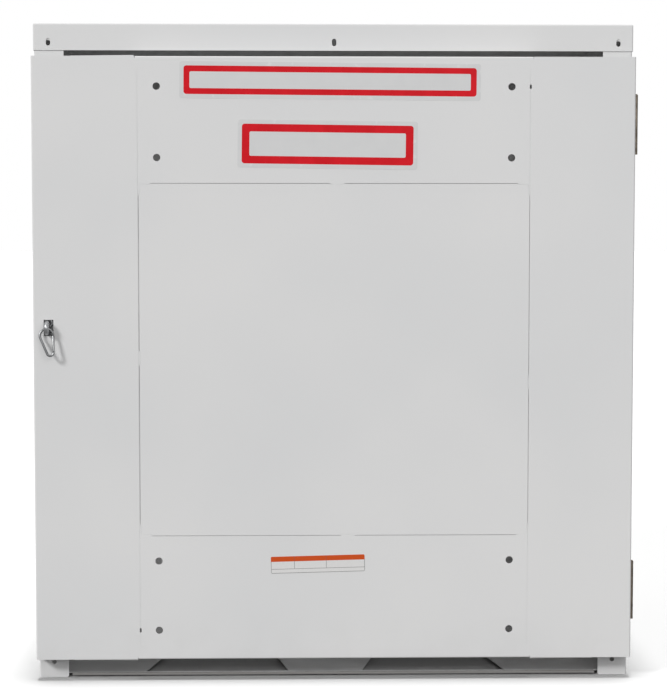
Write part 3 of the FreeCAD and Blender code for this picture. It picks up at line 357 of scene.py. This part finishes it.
between_bends = CLIP_LENGTH - WIRE - WIDE_BEND - NARROW_BEND
taper = math.asin((WIDE_BEND - NARROW_BEND) / between_bends)
wide_centre = Vector((0, 0, -WIDE_BEND))
narrow_centre = wide_centre - Vector((0, 0, between_bends))
up_gate = Vector((math.sin(taper), 0, math.cos(taper)))
up_left = Vector((-up_gate.x, 0, up_gate.z))
out_of_gate = Vector((math.cos(taper), 0, -math.sin(taper)))
gate_foot = narrow_centre + out_of_gate * NARROW_BEND
side_length = between_bends * math.cos(taper)
pivot = gate_foot + up_gate * (WIRE / 2 + GATE_GAP)

on_bar = next(joint["pos_m"] for joint in frame["joints"] if joint["name"] == "clip_swing")
crown = Vector(on_bar) - Vector((SLIP + WIDE_BEND * math.sin(ASKEW), 0, 0))
hang = Matrix.Translation(crown) @ Matrix.Rotation(-LEAN, 4, "X") @ Matrix.Rotation(-ASKEW, 4, "Y")


def hang_clip(piece):
    """Move an upright piece of the clip to where it hangs."""
    activate(piece)
    piece.matrix_world = hang
    bpy.ops.object.transform_apply(location=True, rotation=True, scale=True)


print("clip hangs from", [round(v / MM, 1) for v in crown])

# %% Bend the clip's wire
clip = begin(bpy.ops.mesh.primitive_circle_add, vertices=20, radius=WIRE / 2, fill_type="NGON",
             location=gate_foot, rotation=(0, taper, 0))
bpy.ops.mesh.select_all(action="SELECT")
bpy.ops.mesh.spin(steps=14, angle=math.pi - 2 * taper, center=narrow_centre, axis=(0, -1, 0))
extrude(*(up_left * side_length))
bpy.ops.mesh.spin(steps=28, angle=math.pi + 2 * taper, center=wide_centre, axis=(0, -1, 0))
nose = wide_centre + out_of_gate * WIDE_BEND
choose(clip, "FACE", lambda face: (face.calc_center_median() - nose).length < 0.2 * MM)
bpy.ops.mesh.bevel(offset=0.7 * MM, segments=2, affect="EDGES")
choose(clip, "FACE", lambda face: (face.calc_center_median() - gate_foot).length < 0.2 * MM)
extrude(*(up_gate * 0.3 * MM))
bpy.ops.transform.resize(value=(0.8, 0.4, 0.8), center_override=gate_foot + up_gate * 0.3 * MM)
extrude(*(up_gate * (WIRE / 2 + GATE_GAP)))
extrude(*(up_gate * 1.2 * MM))
bpy.ops.transform.resize(value=(0.7, 1, 0.7), center_override=pivot + up_gate * 1.5 * MM)
close(clip, "bent_clip")
hang_clip(clip)
settle(clip, "clip", "clip_body")
new_looks[clip.name] = "bright"

# %% Make the gate and its pin
gate_length = side_length - WIRE / 2 - 2 * GATE_GAP
gate = begin(bpy.ops.mesh.primitive_cylinder_add, vertices=28, radius=WIRE / 2, depth=gate_length + WIRE / 2,
             location=pivot + up_gate * (gate_length - WIRE / 2) / 2, rotation=(0, taper, 0))
foot_end = (pivot - up_gate * WIRE / 2).dot(up_gate)
top_end = (pivot + up_gate * gate_length).dot(up_gate)
choose(gate, "EDGE", lambda edge: all(v.co.dot(up_gate) < foot_end + 0.1 * MM for v in edge.verts))
bpy.ops.mesh.bevel(offset=0.92 * WIRE / 2, segments=6, affect="EDGES")
choose(gate, "EDGE", lambda edge: all(v.co.dot(up_gate) > top_end - 0.1 * MM for v in edge.verts))
bpy.ops.mesh.bevel(offset=0.5 * MM, segments=2, affect="EDGES")
close(gate, "forked_gate")
fork = begin(bpy.ops.mesh.primitive_cube_add, size=1, location=pivot - up_gate * 0.2 * MM,
             rotation=(0, taper, 0), scale=(2 * WIRE, TONGUE_ROOM, WIRE + 2 * GATE_GAP))
choose(fork, "EDGE", lambda edge: all((v.co - pivot).dot(up_gate) > 0 for v in edge.verts))
bpy.ops.mesh.bevel(offset=0.5 * MM, segments=2, affect="EDGES")
close(fork, "fork_slot")
boolean(gate, "DIFFERENCE", fork)
bpy.ops.object.shade_smooth_by_angle(angle=math.radians(32))
hang_clip(gate)
settle(gate, "gate", "clip_gate")
new_looks[gate.name] = "bright"

pin = begin(bpy.ops.mesh.primitive_cylinder_add, vertices=20, radius=GATE_PIN_RADIUS, depth=GATE_PIN_LENGTH,
            location=pivot, rotation=(math.radians(90), 0, 0))
choose(pin, "EDGE", lambda edge: abs(edge.verts[0].co.y - edge.verts[1].co.y) < 0.01 * MM)
bpy.ops.mesh.bevel(offset=0.45 * GATE_PIN_RADIUS, segments=3, affect="EDGES")
close(pin, "gate_pin")
hang_clip(pin)
settle(pin, "clip", "clip_pin")
new_looks[pin.name] = "bright"

# %% [markdown]
# ## Films and label
# Stuck films are cut with rounded corners, so that they don't catch and lift. A plane of the right size
# gets its four corners bevelled, is turned a little, because films stuck on by hand are never quite
# level, and is extruded by the film's thickness back to the door. The print on them is part of the
# finish, and it is only plain colour.

# %% Cut the films
def cut_film(node, name, wide, high, corner, turn):
    """Cut a film of a width and height in the middle of its node; a turn lifts its right end."""
    box_low, box_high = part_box(node)
    middle = (box_low + box_high) / 2
    front = Vector((middle.x, box_low.y, middle.z))
    film = begin(bpy.ops.mesh.primitive_plane_add, size=1, location=front, rotation=(math.radians(90), 0, 0))
    bpy.ops.mesh.select_all(action="SELECT")
    bpy.ops.transform.resize(value=(wide, 1, high), center_override=front)
    bpy.ops.mesh.bevel(offset=corner, segments=5, affect="VERTICES")
    bpy.ops.mesh.select_all(action="SELECT")
    bpy.ops.transform.rotate(value=turn, orient_axis="Y", center_override=front)
    extrude(y=box_high.y - box_low.y)
    close(film, name)
    settle(film, "door", node)
    new_looks[name] = node
    heights = [vertex.co.z - middle.z for vertex in film.data.vertices if vertex.co.x > middle.x]
    print("right end above the middle in mm:", round(sum(heights) / len(heights) / MM, 1))


UPPER_TURN = math.radians(-0.45)
LOWER_TURN = math.radians(-0.7)
LABEL_TURN = math.radians(1.4)
LABEL_WIDE = 161 * MM
LABEL_HIGH = 29 * MM
cut_film("upper_sign_film", "upper_film", 510 * MM, 62 * MM, 4 * MM, UPPER_TURN)
cut_film("lower_sign_film", "lower_film", 305 * MM, 81 * MM, 4 * MM, LOWER_TURN)
cut_film("small_label", "label", LABEL_WIDE, LABEL_HIGH, 2 * MM, LABEL_TURN)

# %% [markdown]
# ## Bumpers and hinge pins
# A door bumper is a rubber button with a rounded face and a hollow in its back, so that it gives a
# little. A hinge pin has a domed head on top and a rounded point below. Both begin as cylinders: one end
# of the bumper is inset and pushed in, one end of the pin is widened and drawn out, and the rims are
# bevelled.

# %% Press the bumpers
bumper_boxes = solids_of("door_bumpers")
bumper_low, bumper_high = bumper_boxes[0]
bumper_width = bumper_high.x - bumper_low.x
bumper_depth = bumper_high.y - bumper_low.y
bumper = begin(bpy.ops.mesh.primitive_cylinder_add, vertices=32, radius=bumper_width / 2, depth=bumper_depth)
choose(bumper, "FACE", lambda face: face.normal.z < -0.99)
bpy.ops.mesh.inset(thickness=0.08 * bumper_width)
extrude(z=0.25 * bumper_depth)
choose(bumper, "EDGE", lambda edge: all(v.co.z > 0.49 * bumper_depth for v in edge.verts))
bpy.ops.mesh.bevel(offset=0.3 * bumper_width, segments=6, affect="EDGES")
close(bumper, "bumper_pattern")
facing_door = Matrix.Rotation(math.radians(90), 4, "X")
bumpers = [copy_at(bumper, Matrix.Translation((low + high) / 2) @ facing_door) for low, high in bumper_boxes]
discard(bumper)
bumpers = one_piece(bumpers, "rubber_bumpers")
settle(bumpers, "cabinet", "door_bumpers")
new_looks[bumpers.name] = "rubber"

# %% Head the hinge pins
HINGE_PIN_WIDTH = 3 * MM
HINGE_PIN_HEAD = 1.5 * MM
for place_name in ("upper", "lower"):
    low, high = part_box(place_name + "_hinge_pin")
    axis_x = (low.x + high.x) / 2
    axis_y = (low.y + high.y) / 2
    seat = high.z - HINGE_PIN_HEAD
    shaft = begin(bpy.ops.mesh.primitive_cylinder_add, vertices=24, radius=HINGE_PIN_WIDTH / 2,
                  depth=seat - low.z, location=(axis_x, axis_y, (seat + low.z) / 2))
    choose(shaft, "FACE", lambda face: face.normal.z > 0.99)
    widening = (high.x - low.x) / HINGE_PIN_WIDTH
    extrude()
    bpy.ops.transform.resize(value=(widening, widening, 1), center_override=(axis_x, axis_y, seat))
    extrude(z=HINGE_PIN_HEAD)
    choose(shaft, "EDGE", lambda edge: all(v.co.z > high.z - 0.1 * MM for v in edge.verts))
    bpy.ops.mesh.bevel(offset=0.8 * HINGE_PIN_HEAD, segments=4, affect="EDGES")
    choose(shaft, "EDGE", lambda edge: all(v.co.z < low.z + 0.1 * MM for v in edge.verts))
    bpy.ops.mesh.bevel(offset=0.6 * MM, segments=2, affect="EDGES")
    close(shaft, place_name + "_headed_pin")
    settle(shaft, "cabinet", place_name + "_hinge_pin")
    new_looks[shaft.name] = "hinge"

# %% [markdown]
# ## Sums in the shader
# Every finish is worked out from where a point lies on the cabinet. Writing each Math node by hand is
# slow to read, so one small class wraps a socket: adding or multiplying two wrapped sockets adds the Math
# node. Any other node comes from one method of the finish, which sets the node's options first and its
# sockets after.

# %% A socket that takes sums, and a finish that makes nodes
class Socket:
    """An output of a node; sums on it add Math nodes to its finish."""

    def __init__(self, finish, output):
        self.finish = finish
        self.output = output

    def sum(self, operation, first, second=0.0):
        return self.finish.node("ShaderNodeMath", {"operation": operation}, {0: first, 1: second})

    def __add__(self, other):
        return self.sum("ADD", self, other)

    def __sub__(self, other):
        return self.sum("SUBTRACT", self, other)

    def __rsub__(self, other):
        return self.sum("SUBTRACT", other, self)

    def __mul__(self, other):
        return self.sum("MULTIPLY", self, other)

    def __truediv__(self, other):
        return self.sum("DIVIDE", self, other)

    def __abs__(self):
        return self.sum("ABSOLUTE", self)

    def at_least(self, other):
        return self.sum("MAXIMUM", self, other)

    def below(self, other):
        return self.sum("LESS_THAN", self, other)

    __radd__ = __add__


class Finish:
    """A node material round one Principled shader."""

    def __init__(self, name, constants):
        self.material = bpy.data.materials.new(name)
        self.material.use_nodes = True
        self.tree = self.material.node_tree
        self.shader = next(n for n in self.tree.nodes if n.type == "BSDF_PRINCIPLED")
        for socket, value in constants.items():
            self.shader.inputs[socket].default_value = value
        self.spot = self.node("ShaderNodeTexCoord", {}, {}, "Object")
        self.x, self.y, self.z = (
            self.node("ShaderNodeSeparateXYZ", {}, {"Vector": self.spot}, axis) for axis in "XYZ")

    def node(self, kind, settings, sockets, output=0):
        """Add a node, set its options and then its sockets, and give back one output."""
        node = self.tree.nodes.new(kind)
        for option, value in settings.items():
            setattr(node, option, value)
        for socket, value in sockets.items():
            self.feed(node.inputs[socket], value)
        return Socket(self, node.outputs[output])

    def feed(self, entry, value):
        if isinstance(value, Socket):
            self.tree.links.new(value.output, entry)
        else:
            entry.default_value = value

    def noise(self, scale, detail, stretch=(1, 1, 1)):
        """Cloudy noise from 0 to 1 with about this many clouds a metre, stretched along the axes."""
        spot = self.node("ShaderNodeMapping", {}, {"Vector": self.spot, "Scale": stretch})
        return self.node("ShaderNodeTexNoise", {}, {"Vector": spot, "Scale": scale, "Detail": detail}, "Fac")

    def ease(self, value, low, high):
        """0 below low and 1 above high, with a soft step between."""
        return self.node("ShaderNodeMapRange", {"interpolation_type": "SMOOTHSTEP"},
                         {"Value": value, "From Min": low, "From Max": high})

    def mix(self, share, first, second):
        """A colour between two colours."""
        return self.node("ShaderNodeMix", {"data_type": "RGBA"}, {0: share, 6: first, 7: second}, 2)

    def set(self, **sockets):
        for socket, value in sockets.items():
            self.feed(self.shader.inputs[socket.replace("_", " ").title()], value)

    def bump(self, height, strength, distance, under=None):
        """A bump from a height of 0 to 1, on top of an earlier bump."""
        sockets = {"Height": height, "Strength": strength, "Distance": distance}
        if under is not None:
            sockets["Normal"] = under
        return self.node("ShaderNodeBump", {}, sockets, "Normal")


def grey(level, warm=0.0):
    """A near-neutral colour; warm shifts it from blue to red."""
    return (level * (1 + warm), level, level * (1 - warm), 1)


# %% [markdown]
# ## Coated sheet
# The cabinet is folded from steel sheet and coated in pale grey. Up close such a coat has fine orange peel; from
# further off the sheet is very slightly wavy, so its tone drifts by about two percent either way. A little dust
# gathers low down. All of it stays faint, because the cabinet is new; only the floor takes more dust, and the
# front face of its lip is painted dark grey as painted shade under the door.

# %% Coat for the body and the door
def coat(name, level, seed, dirt=0.08, shaded_lip=None):
    """A coat of a grey level; the lip argument is the y of a front edge whose face gets a painted shade, dark as
    under the door.
    """
    finish = Finish(name, {"Specular IOR Level": 0.45})
    drift = finish.noise(2.3 + seed, 2.0)
    cloud = finish.noise(17.0 + seed, 4.0)
    peel = finish.noise(650.0, 2.0)
    waves = finish.noise(3.1 + seed, 1.0, (1, 1, 0.6))
    dust = (1 - finish.ease(finish.z, 0.004, 0.16)) * finish.ease(cloud, 0.35, 0.8)
    tone = finish.mix(finish.ease(drift, 0.25, 0.75), grey(0.975 * level, -0.004), grey(1.02 * level, 0.004))
    tone = finish.mix(dust * dirt, tone, (0.42 * level, 0.40 * level, 0.36 * level, 1))
    if shaded_lip is not None:
        # Painted shade: the front face of the floor's lip is made dark grey, as if it lay in the door's shadow.
        lip_shade = 1 - finish.ease(finish.y, shaded_lip + 2 * MM, shaded_lip + 5 * MM)
        tone = finish.mix(lip_shade * 0.95, tone, grey(0.3 * level, 0.03))
    finish.set(base_color=tone, roughness=0.4 + cloud * 0.12 + dust * 0.15)
    wavy = finish.bump(waves, 0.35, 1.2 * MM)
    finish.set(normal=finish.bump(peel, 0.12, 0.05 * MM, wavy))
    return finish.material


COAT = 0.77
looks = {"body": coat("body_powder", COAT, 0.0), "door": coat("door_powder", COAT, 0.4)}
looks["floor"] = coat("floor_powder", 0.88 * COAT, 0.8, 0.14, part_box("floor_pan")[0].y)
print("coats:", [m.name for m in looks.values()])

# %% [markdown]
# ## Plated steel
# Zinc plate is a bright grey metal with a faint grain; the bar and its nuts are a little duller than the
# sprung wire of the clip, which is darker but more polished, and rivets are duller still. The hinges have
# a brown passivated plate with darker patches. One function makes them all from two colours, a roughness
# and the fineness of the grain. Threaded bars also get ridges along their length behind the door.

# %% Plate for bars, wire, rivets and hinges
def plate(name, colour, dark, roughness, grain):
    """A plated finish without a bump, and the grain that a bump can take."""
    finish = Finish(name, {"Metallic": 1.0})
    patches = finish.noise(grain / 6, 4.0)
    fine = finish.noise(grain, 2.0, (1, 1, 0.35))
    tarnish = finish.ease(patches, 0.42, 0.72)
    finish.set(base_color=finish.mix(tarnish, colour, dark))
    finish.set(roughness=roughness + fine * 0.14 + tarnish * 0.12)
    return finish, fine


def smooth_plate(name, colour, dark, roughness, grain):
    finish, fine = plate(name, colour, dark, roughness, grain)
    finish.set(normal=finish.bump(fine, 0.1, 0.05 * MM))
    return finish.material


ZINC = (0.60, 0.61, 0.62, 1)
DULL_ZINC = (0.44, 0.45, 0.46, 1)
looks["zinc"] = smooth_plate("zinc_plate", ZINC, DULL_ZINC, 0.3, 420)
looks["bright"] = smooth_plate("bright_wire", (0.34, 0.345, 0.35, 1), (0.22, 0.225, 0.23, 1), 0.24, 500)
looks["rivet"] = smooth_plate("rivet_metal", (0.62, 0.62, 0.61, 1), (0.46, 0.46, 0.45, 1), 0.42, 600)
looks["hinge"] = smooth_plate("hinge_metal", (0.30, 0.255, 0.205, 1), (0.16, 0.135, 0.11, 1), 0.36, 380)

THREAD_PITCH = 1.25 * MM
threaded = plate("threaded_zinc", ZINC, DULL_ZINC, 0.3, 420)[0]
ridge = threaded.node("ShaderNodeMath", {"operation": "PINGPONG"}, {0: threaded.y, 1: THREAD_PITCH / 2})
thread_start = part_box("door_skin")[1].y + 1 * MM
on_thread = threaded.ease(threaded.y, thread_start, thread_start + 1 * MM)
threaded.set(normal=threaded.bump(ridge / (THREAD_PITCH / 2) * on_thread, 0.8, 0.5 * MM))
looks["threaded"] = threaded.material
print("coats and plates:", sorted(looks))

# %% [markdown]
# ## Films and label
# The films are thin and a touch greyer than the coat under them, with a few flat bubbles near their edges, which
# are also painted a little lighter as a painted highlight. They carry only a plain red frame. A frame is drawn
# from two rounded rectangles: a point is inside one where its distance past the straight sides is less than the
# corner. The small label has an orange strip along its top and thin rules. All print is drawn along the turned
# axes of its own film.

# %% Print the films
RED = (0.66, 0.006, 0.014, 1)
WORN_RED = (0.74, 0.009, 0.02, 1)
ORANGE = (0.64, 0.085, 0.013, 1)
FRAME_MARGIN = 7 * MM
BUBBLE_BAND = 9 * MM


def axes_of(finish, node, turn):
    """How far a point is from the middle of a film, along the film and across it."""
    middle = sum(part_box(node), Vector()) / 2
    to_right = finish.x - middle.x
    upwards = finish.z - middle.z
    along = to_right * math.cos(turn) + upwards * math.sin(turn)
    across = upwards * math.cos(turn) - to_right * math.sin(turn)
    return along, across


def inside(along, across, half_wide, half_high, corner):
    """1 inside a rounded rectangle in the middle of a film and 0 outside."""
    past_side = (abs(along) - (half_wide - corner)).at_least(0)
    past_top = (abs(across) - (half_high - corner)).at_least(0)
    return (past_side * past_side + past_top * past_top).below(corner * corner)


def film_look(node, turn, stroke):
    """A film with a red frame of a stroke's width, a little way in from its edge."""
    low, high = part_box(node)
    half_wide = (high.x - low.x) / 2
    half_high = (high.z - low.z) / 2
    finish = Finish(node, {"Specular IOR Level": 0.15})
    along, across = axes_of(finish, node, turn)
    cloud = finish.noise(40.0, 3.0)
    bubbles_and_highlight = finish.ease(finish.noise(95.0, 1.0), 0.62, 0.74)
    near_edge = 1 - inside(along, across, half_wide - BUBBLE_BAND, half_high - BUBBLE_BAND, 6 * MM)
    outer = inside(along, across, half_wide - FRAME_MARGIN, half_high - FRAME_MARGIN, 5 * MM)
    inset = FRAME_MARGIN + stroke
    inner = inside(along, across, half_wide - inset, half_high - inset, 2.5 * MM)
    frame_print = outer * (1 - inner)
    ground = finish.mix(cloud, grey(0.89 * COAT, -0.006), grey(0.95 * COAT))
    # Painted highlight: the bubbles near the edge are made paler, as if the lifted film caught the light; the bump
    # below is the real bubble.
    ground = finish.mix(bubbles_and_highlight * near_edge * 0.5, ground, grey(1.05 * COAT))
    red = finish.mix(finish.ease(cloud, 0.3, 0.8), RED, WORN_RED)
    finish.set(base_color=finish.mix(frame_print, ground, red))
    finish.set(roughness=0.3 + cloud * 0.1)
    finish.set(normal=finish.bump(bubbles_and_highlight * near_edge, 0.5, 0.2 * MM))
    return finish.material


looks["upper_sign_film"] = film_look("upper_sign_film", UPPER_TURN, 10 * MM)
looks["lower_sign_film"] = film_look("lower_sign_film", LOWER_TURN, 13 * MM)

# %% Rule the label
RULE = 0.8 * MM
RULE_GREY = grey(0.12)
label_look = Finish("label_paper", {"Specular IOR Level": 0.2})
along, across = axes_of(label_look, "small_label", LABEL_TURN)

foot_rule = -0.25 * LABEL_HIGH
first_divider = abs(along + 0.25 * LABEL_WIDE).below(RULE / 2)
second_divider = abs(along - 0.09 * LABEL_WIDE).below(RULE / 2)
dividers = first_divider.at_least(second_divider) * (1 - across.below(foot_rule))
rules = abs(across - foot_rule).below(RULE / 2).at_least(dividers)
border = 1 - abs(along).below(LABEL_WIDE / 2 - RULE)
border = border.at_least(1 - abs(across).below(LABEL_HIGH / 2 - RULE))
rules = rules.at_least(border)
strip_low = 0.19 * LABEL_HIGH
strip = label_look.ease(across, strip_low, strip_low + 0.3 * MM)

fibre = label_look.noise(500.0, 3.0)
paper = label_look.mix(fibre, grey(0.72, 0.01), grey(0.80, 0.01))
paper = label_look.mix(rules * 0.75, paper, RULE_GREY)
parted_strip = label_look.mix(dividers * 0.5, ORANGE, RULE_GREY)
label_look.set(base_color=label_look.mix(strip, paper, parted_strip), roughness=0.45 + fibre * 0.15)
label_look.set(normal=label_look.bump(fibre, 0.15, 0.05 * MM))
looks["small_label"] = label_look.material

# %% Rubber
rubber = Finish("bumper_rubber", {"Specular IOR Level": 0.35})
speck = rubber.noise(900.0, 3.0)
rubber.set(base_color=rubber.mix(speck, grey(0.02), grey(0.045)), roughness=0.6 + speck * 0.2)
rubber.set(normal=rubber.bump(speck, 0.2, 0.1 * MM))
looks["rubber"] = rubber.material
print("finishes:", sorted(looks))

# %% [markdown]
# ## Who wears what
# The record names a slot for every CAD node. Each slot gets its finish here, and the new pieces get the
# finish that was noted when they were modelled.

# %% Dress every piece
slot_looks = {
    "body_coat": "body", "door_coat": "door", "zinc_plate": "zinc", "rivet_metal": "rivet",
    "hinge_metal": "hinge", "clip_steel": "bright", "bumper_rubber": "rubber",
}


def dress(piece, material):
    piece.data.materials.clear()
    piece.data.materials.append(material)


for row in frame["record"]["subparts"]:
    look = slot_looks.get(row["material_slot"], row["node"])
    dress(nodes[row["node"]], looks[look])
dress(nodes["floor_pan"], looks["floor"])
for name, look in new_looks.items():
    dress(bpy.data.objects[name], looks[look])
print("dressed", len(nodes), "CAD nodes and", len(new_looks), "new pieces")

# %% [markdown]
# ## Floor, light and camera
# The cabinet stands on a plain pale floor in a white studio. Sun lamps with a wide angle give soft light
# that is the same at any distance. The main one comes from the upper left and throws the clip's shadow
# down to the right. Others fill from the front, from above and from behind, so that no side falls off. A
# white floor would throw so much light back up that folds and edges go flat, so the floor itself is grey
# and a lamp that shines on nothing else brings it up to white. Light that bounces off the floor meets a
# darker grey than the camera does, for the same reason. The camera sees the sky in the same white as the
# floor, so no horizon shows.

# %% Floor and sky
FLOOR = 0.42
FLOOR_BOUNCE = 0.08
SKY = 0.3
BACKDROP = 1.0

bpy.ops.object.select_all(action="DESELECT")
bpy.ops.mesh.primitive_plane_add(size=200)
floor = bpy.context.active_object
floor.name = "floor"
floor_finish = Finish("pale_floor", {"Roughness": 0.9, "Specular IOR Level": 0.0})
looked_at = floor_finish.node("ShaderNodeLightPath", {}, {}, "Is Camera Ray")
floor_finish.set(base_color=floor_finish.mix(looked_at, grey(FLOOR_BOUNCE), grey(FLOOR)))
dress(floor, floor_finish.material)

world = bpy.data.worlds.new("studio")
world.use_nodes = True
bpy.context.scene.world = world
sky = next(n for n in world.node_tree.nodes if n.type == "BACKGROUND")
sky.inputs["Color"].default_value = (1, 1, 1, 1)
seen = world.node_tree.nodes.new("ShaderNodeLightPath")
strength = world.node_tree.nodes.new("ShaderNodeMath")
strength.operation = "MULTIPLY_ADD"
strength.inputs[1].default_value = BACKDROP - SKY
strength.inputs[2].default_value = SKY
world.node_tree.links.new(seen.outputs["Is Camera Ray"], strength.inputs[0])
world.node_tree.links.new(strength.outputs[0], sky.inputs["Strength"])


# %% Lights
def soft_sun(name, direction, width, strength):
    """A sun that shines from a direction and looks as wide as an angle in degrees."""
    away = Vector(direction).normalized()
    bpy.ops.object.light_add(type="SUN", location=away * 6)
    light = bpy.context.active_object
    light.name = name
    light.rotation_euler = away.to_track_quat("Z", "Y").to_euler()
    light.data.angle = math.radians(width)
    light.data.energy = strength
    print(name, "shines from", [round(v, 2) for v in away])
    return light


soft_sun("left_light", (-0.66, -0.55, 0.51), 13, 1.95)
soft_sun("front_light", (0.3, -0.88, 0.3), 50, 0.8)
soft_sun("top_light", (0, 0, 1), 50, 0.6)
soft_sun("back_light", (0.35, 0.85, 0.35), 70, 1.2)
floor_light = soft_sun("floor_light", (0, 0, 1), 8, 5.2)
only_floor = bpy.data.collections.new("only_floor")
only_floor.objects.link(floor)
floor_light.light_linking.receiver_collection = only_floor

# %% Camera
IMAGE_HIGH = 700
FOCAL_PIXELS = 1830
CAMERA_PLACE = (-0.068, -3.471, 0.761)
LOOKS_DOWN = math.radians(3.52)
LOOKS_RIGHT = math.radians(1.22)
camera_data = bpy.data.cameras.new("camera")
camera_data.sensor_width = 36
camera_data.lens = FOCAL_PIXELS * camera_data.sensor_width / IMAGE_HIGH
camera = bpy.data.objects.new("camera", camera_data)
bpy.context.scene.collection.objects.link(camera)
camera.location = CAMERA_PLACE
camera.rotation_euler = (math.radians(90) - LOOKS_DOWN, 0, -LOOKS_RIGHT)
bpy.context.scene.camera = camera
bpy.context.scene.view_settings.view_transform = "Standard"
print("lens in mm:", round(camera_data.lens, 1))
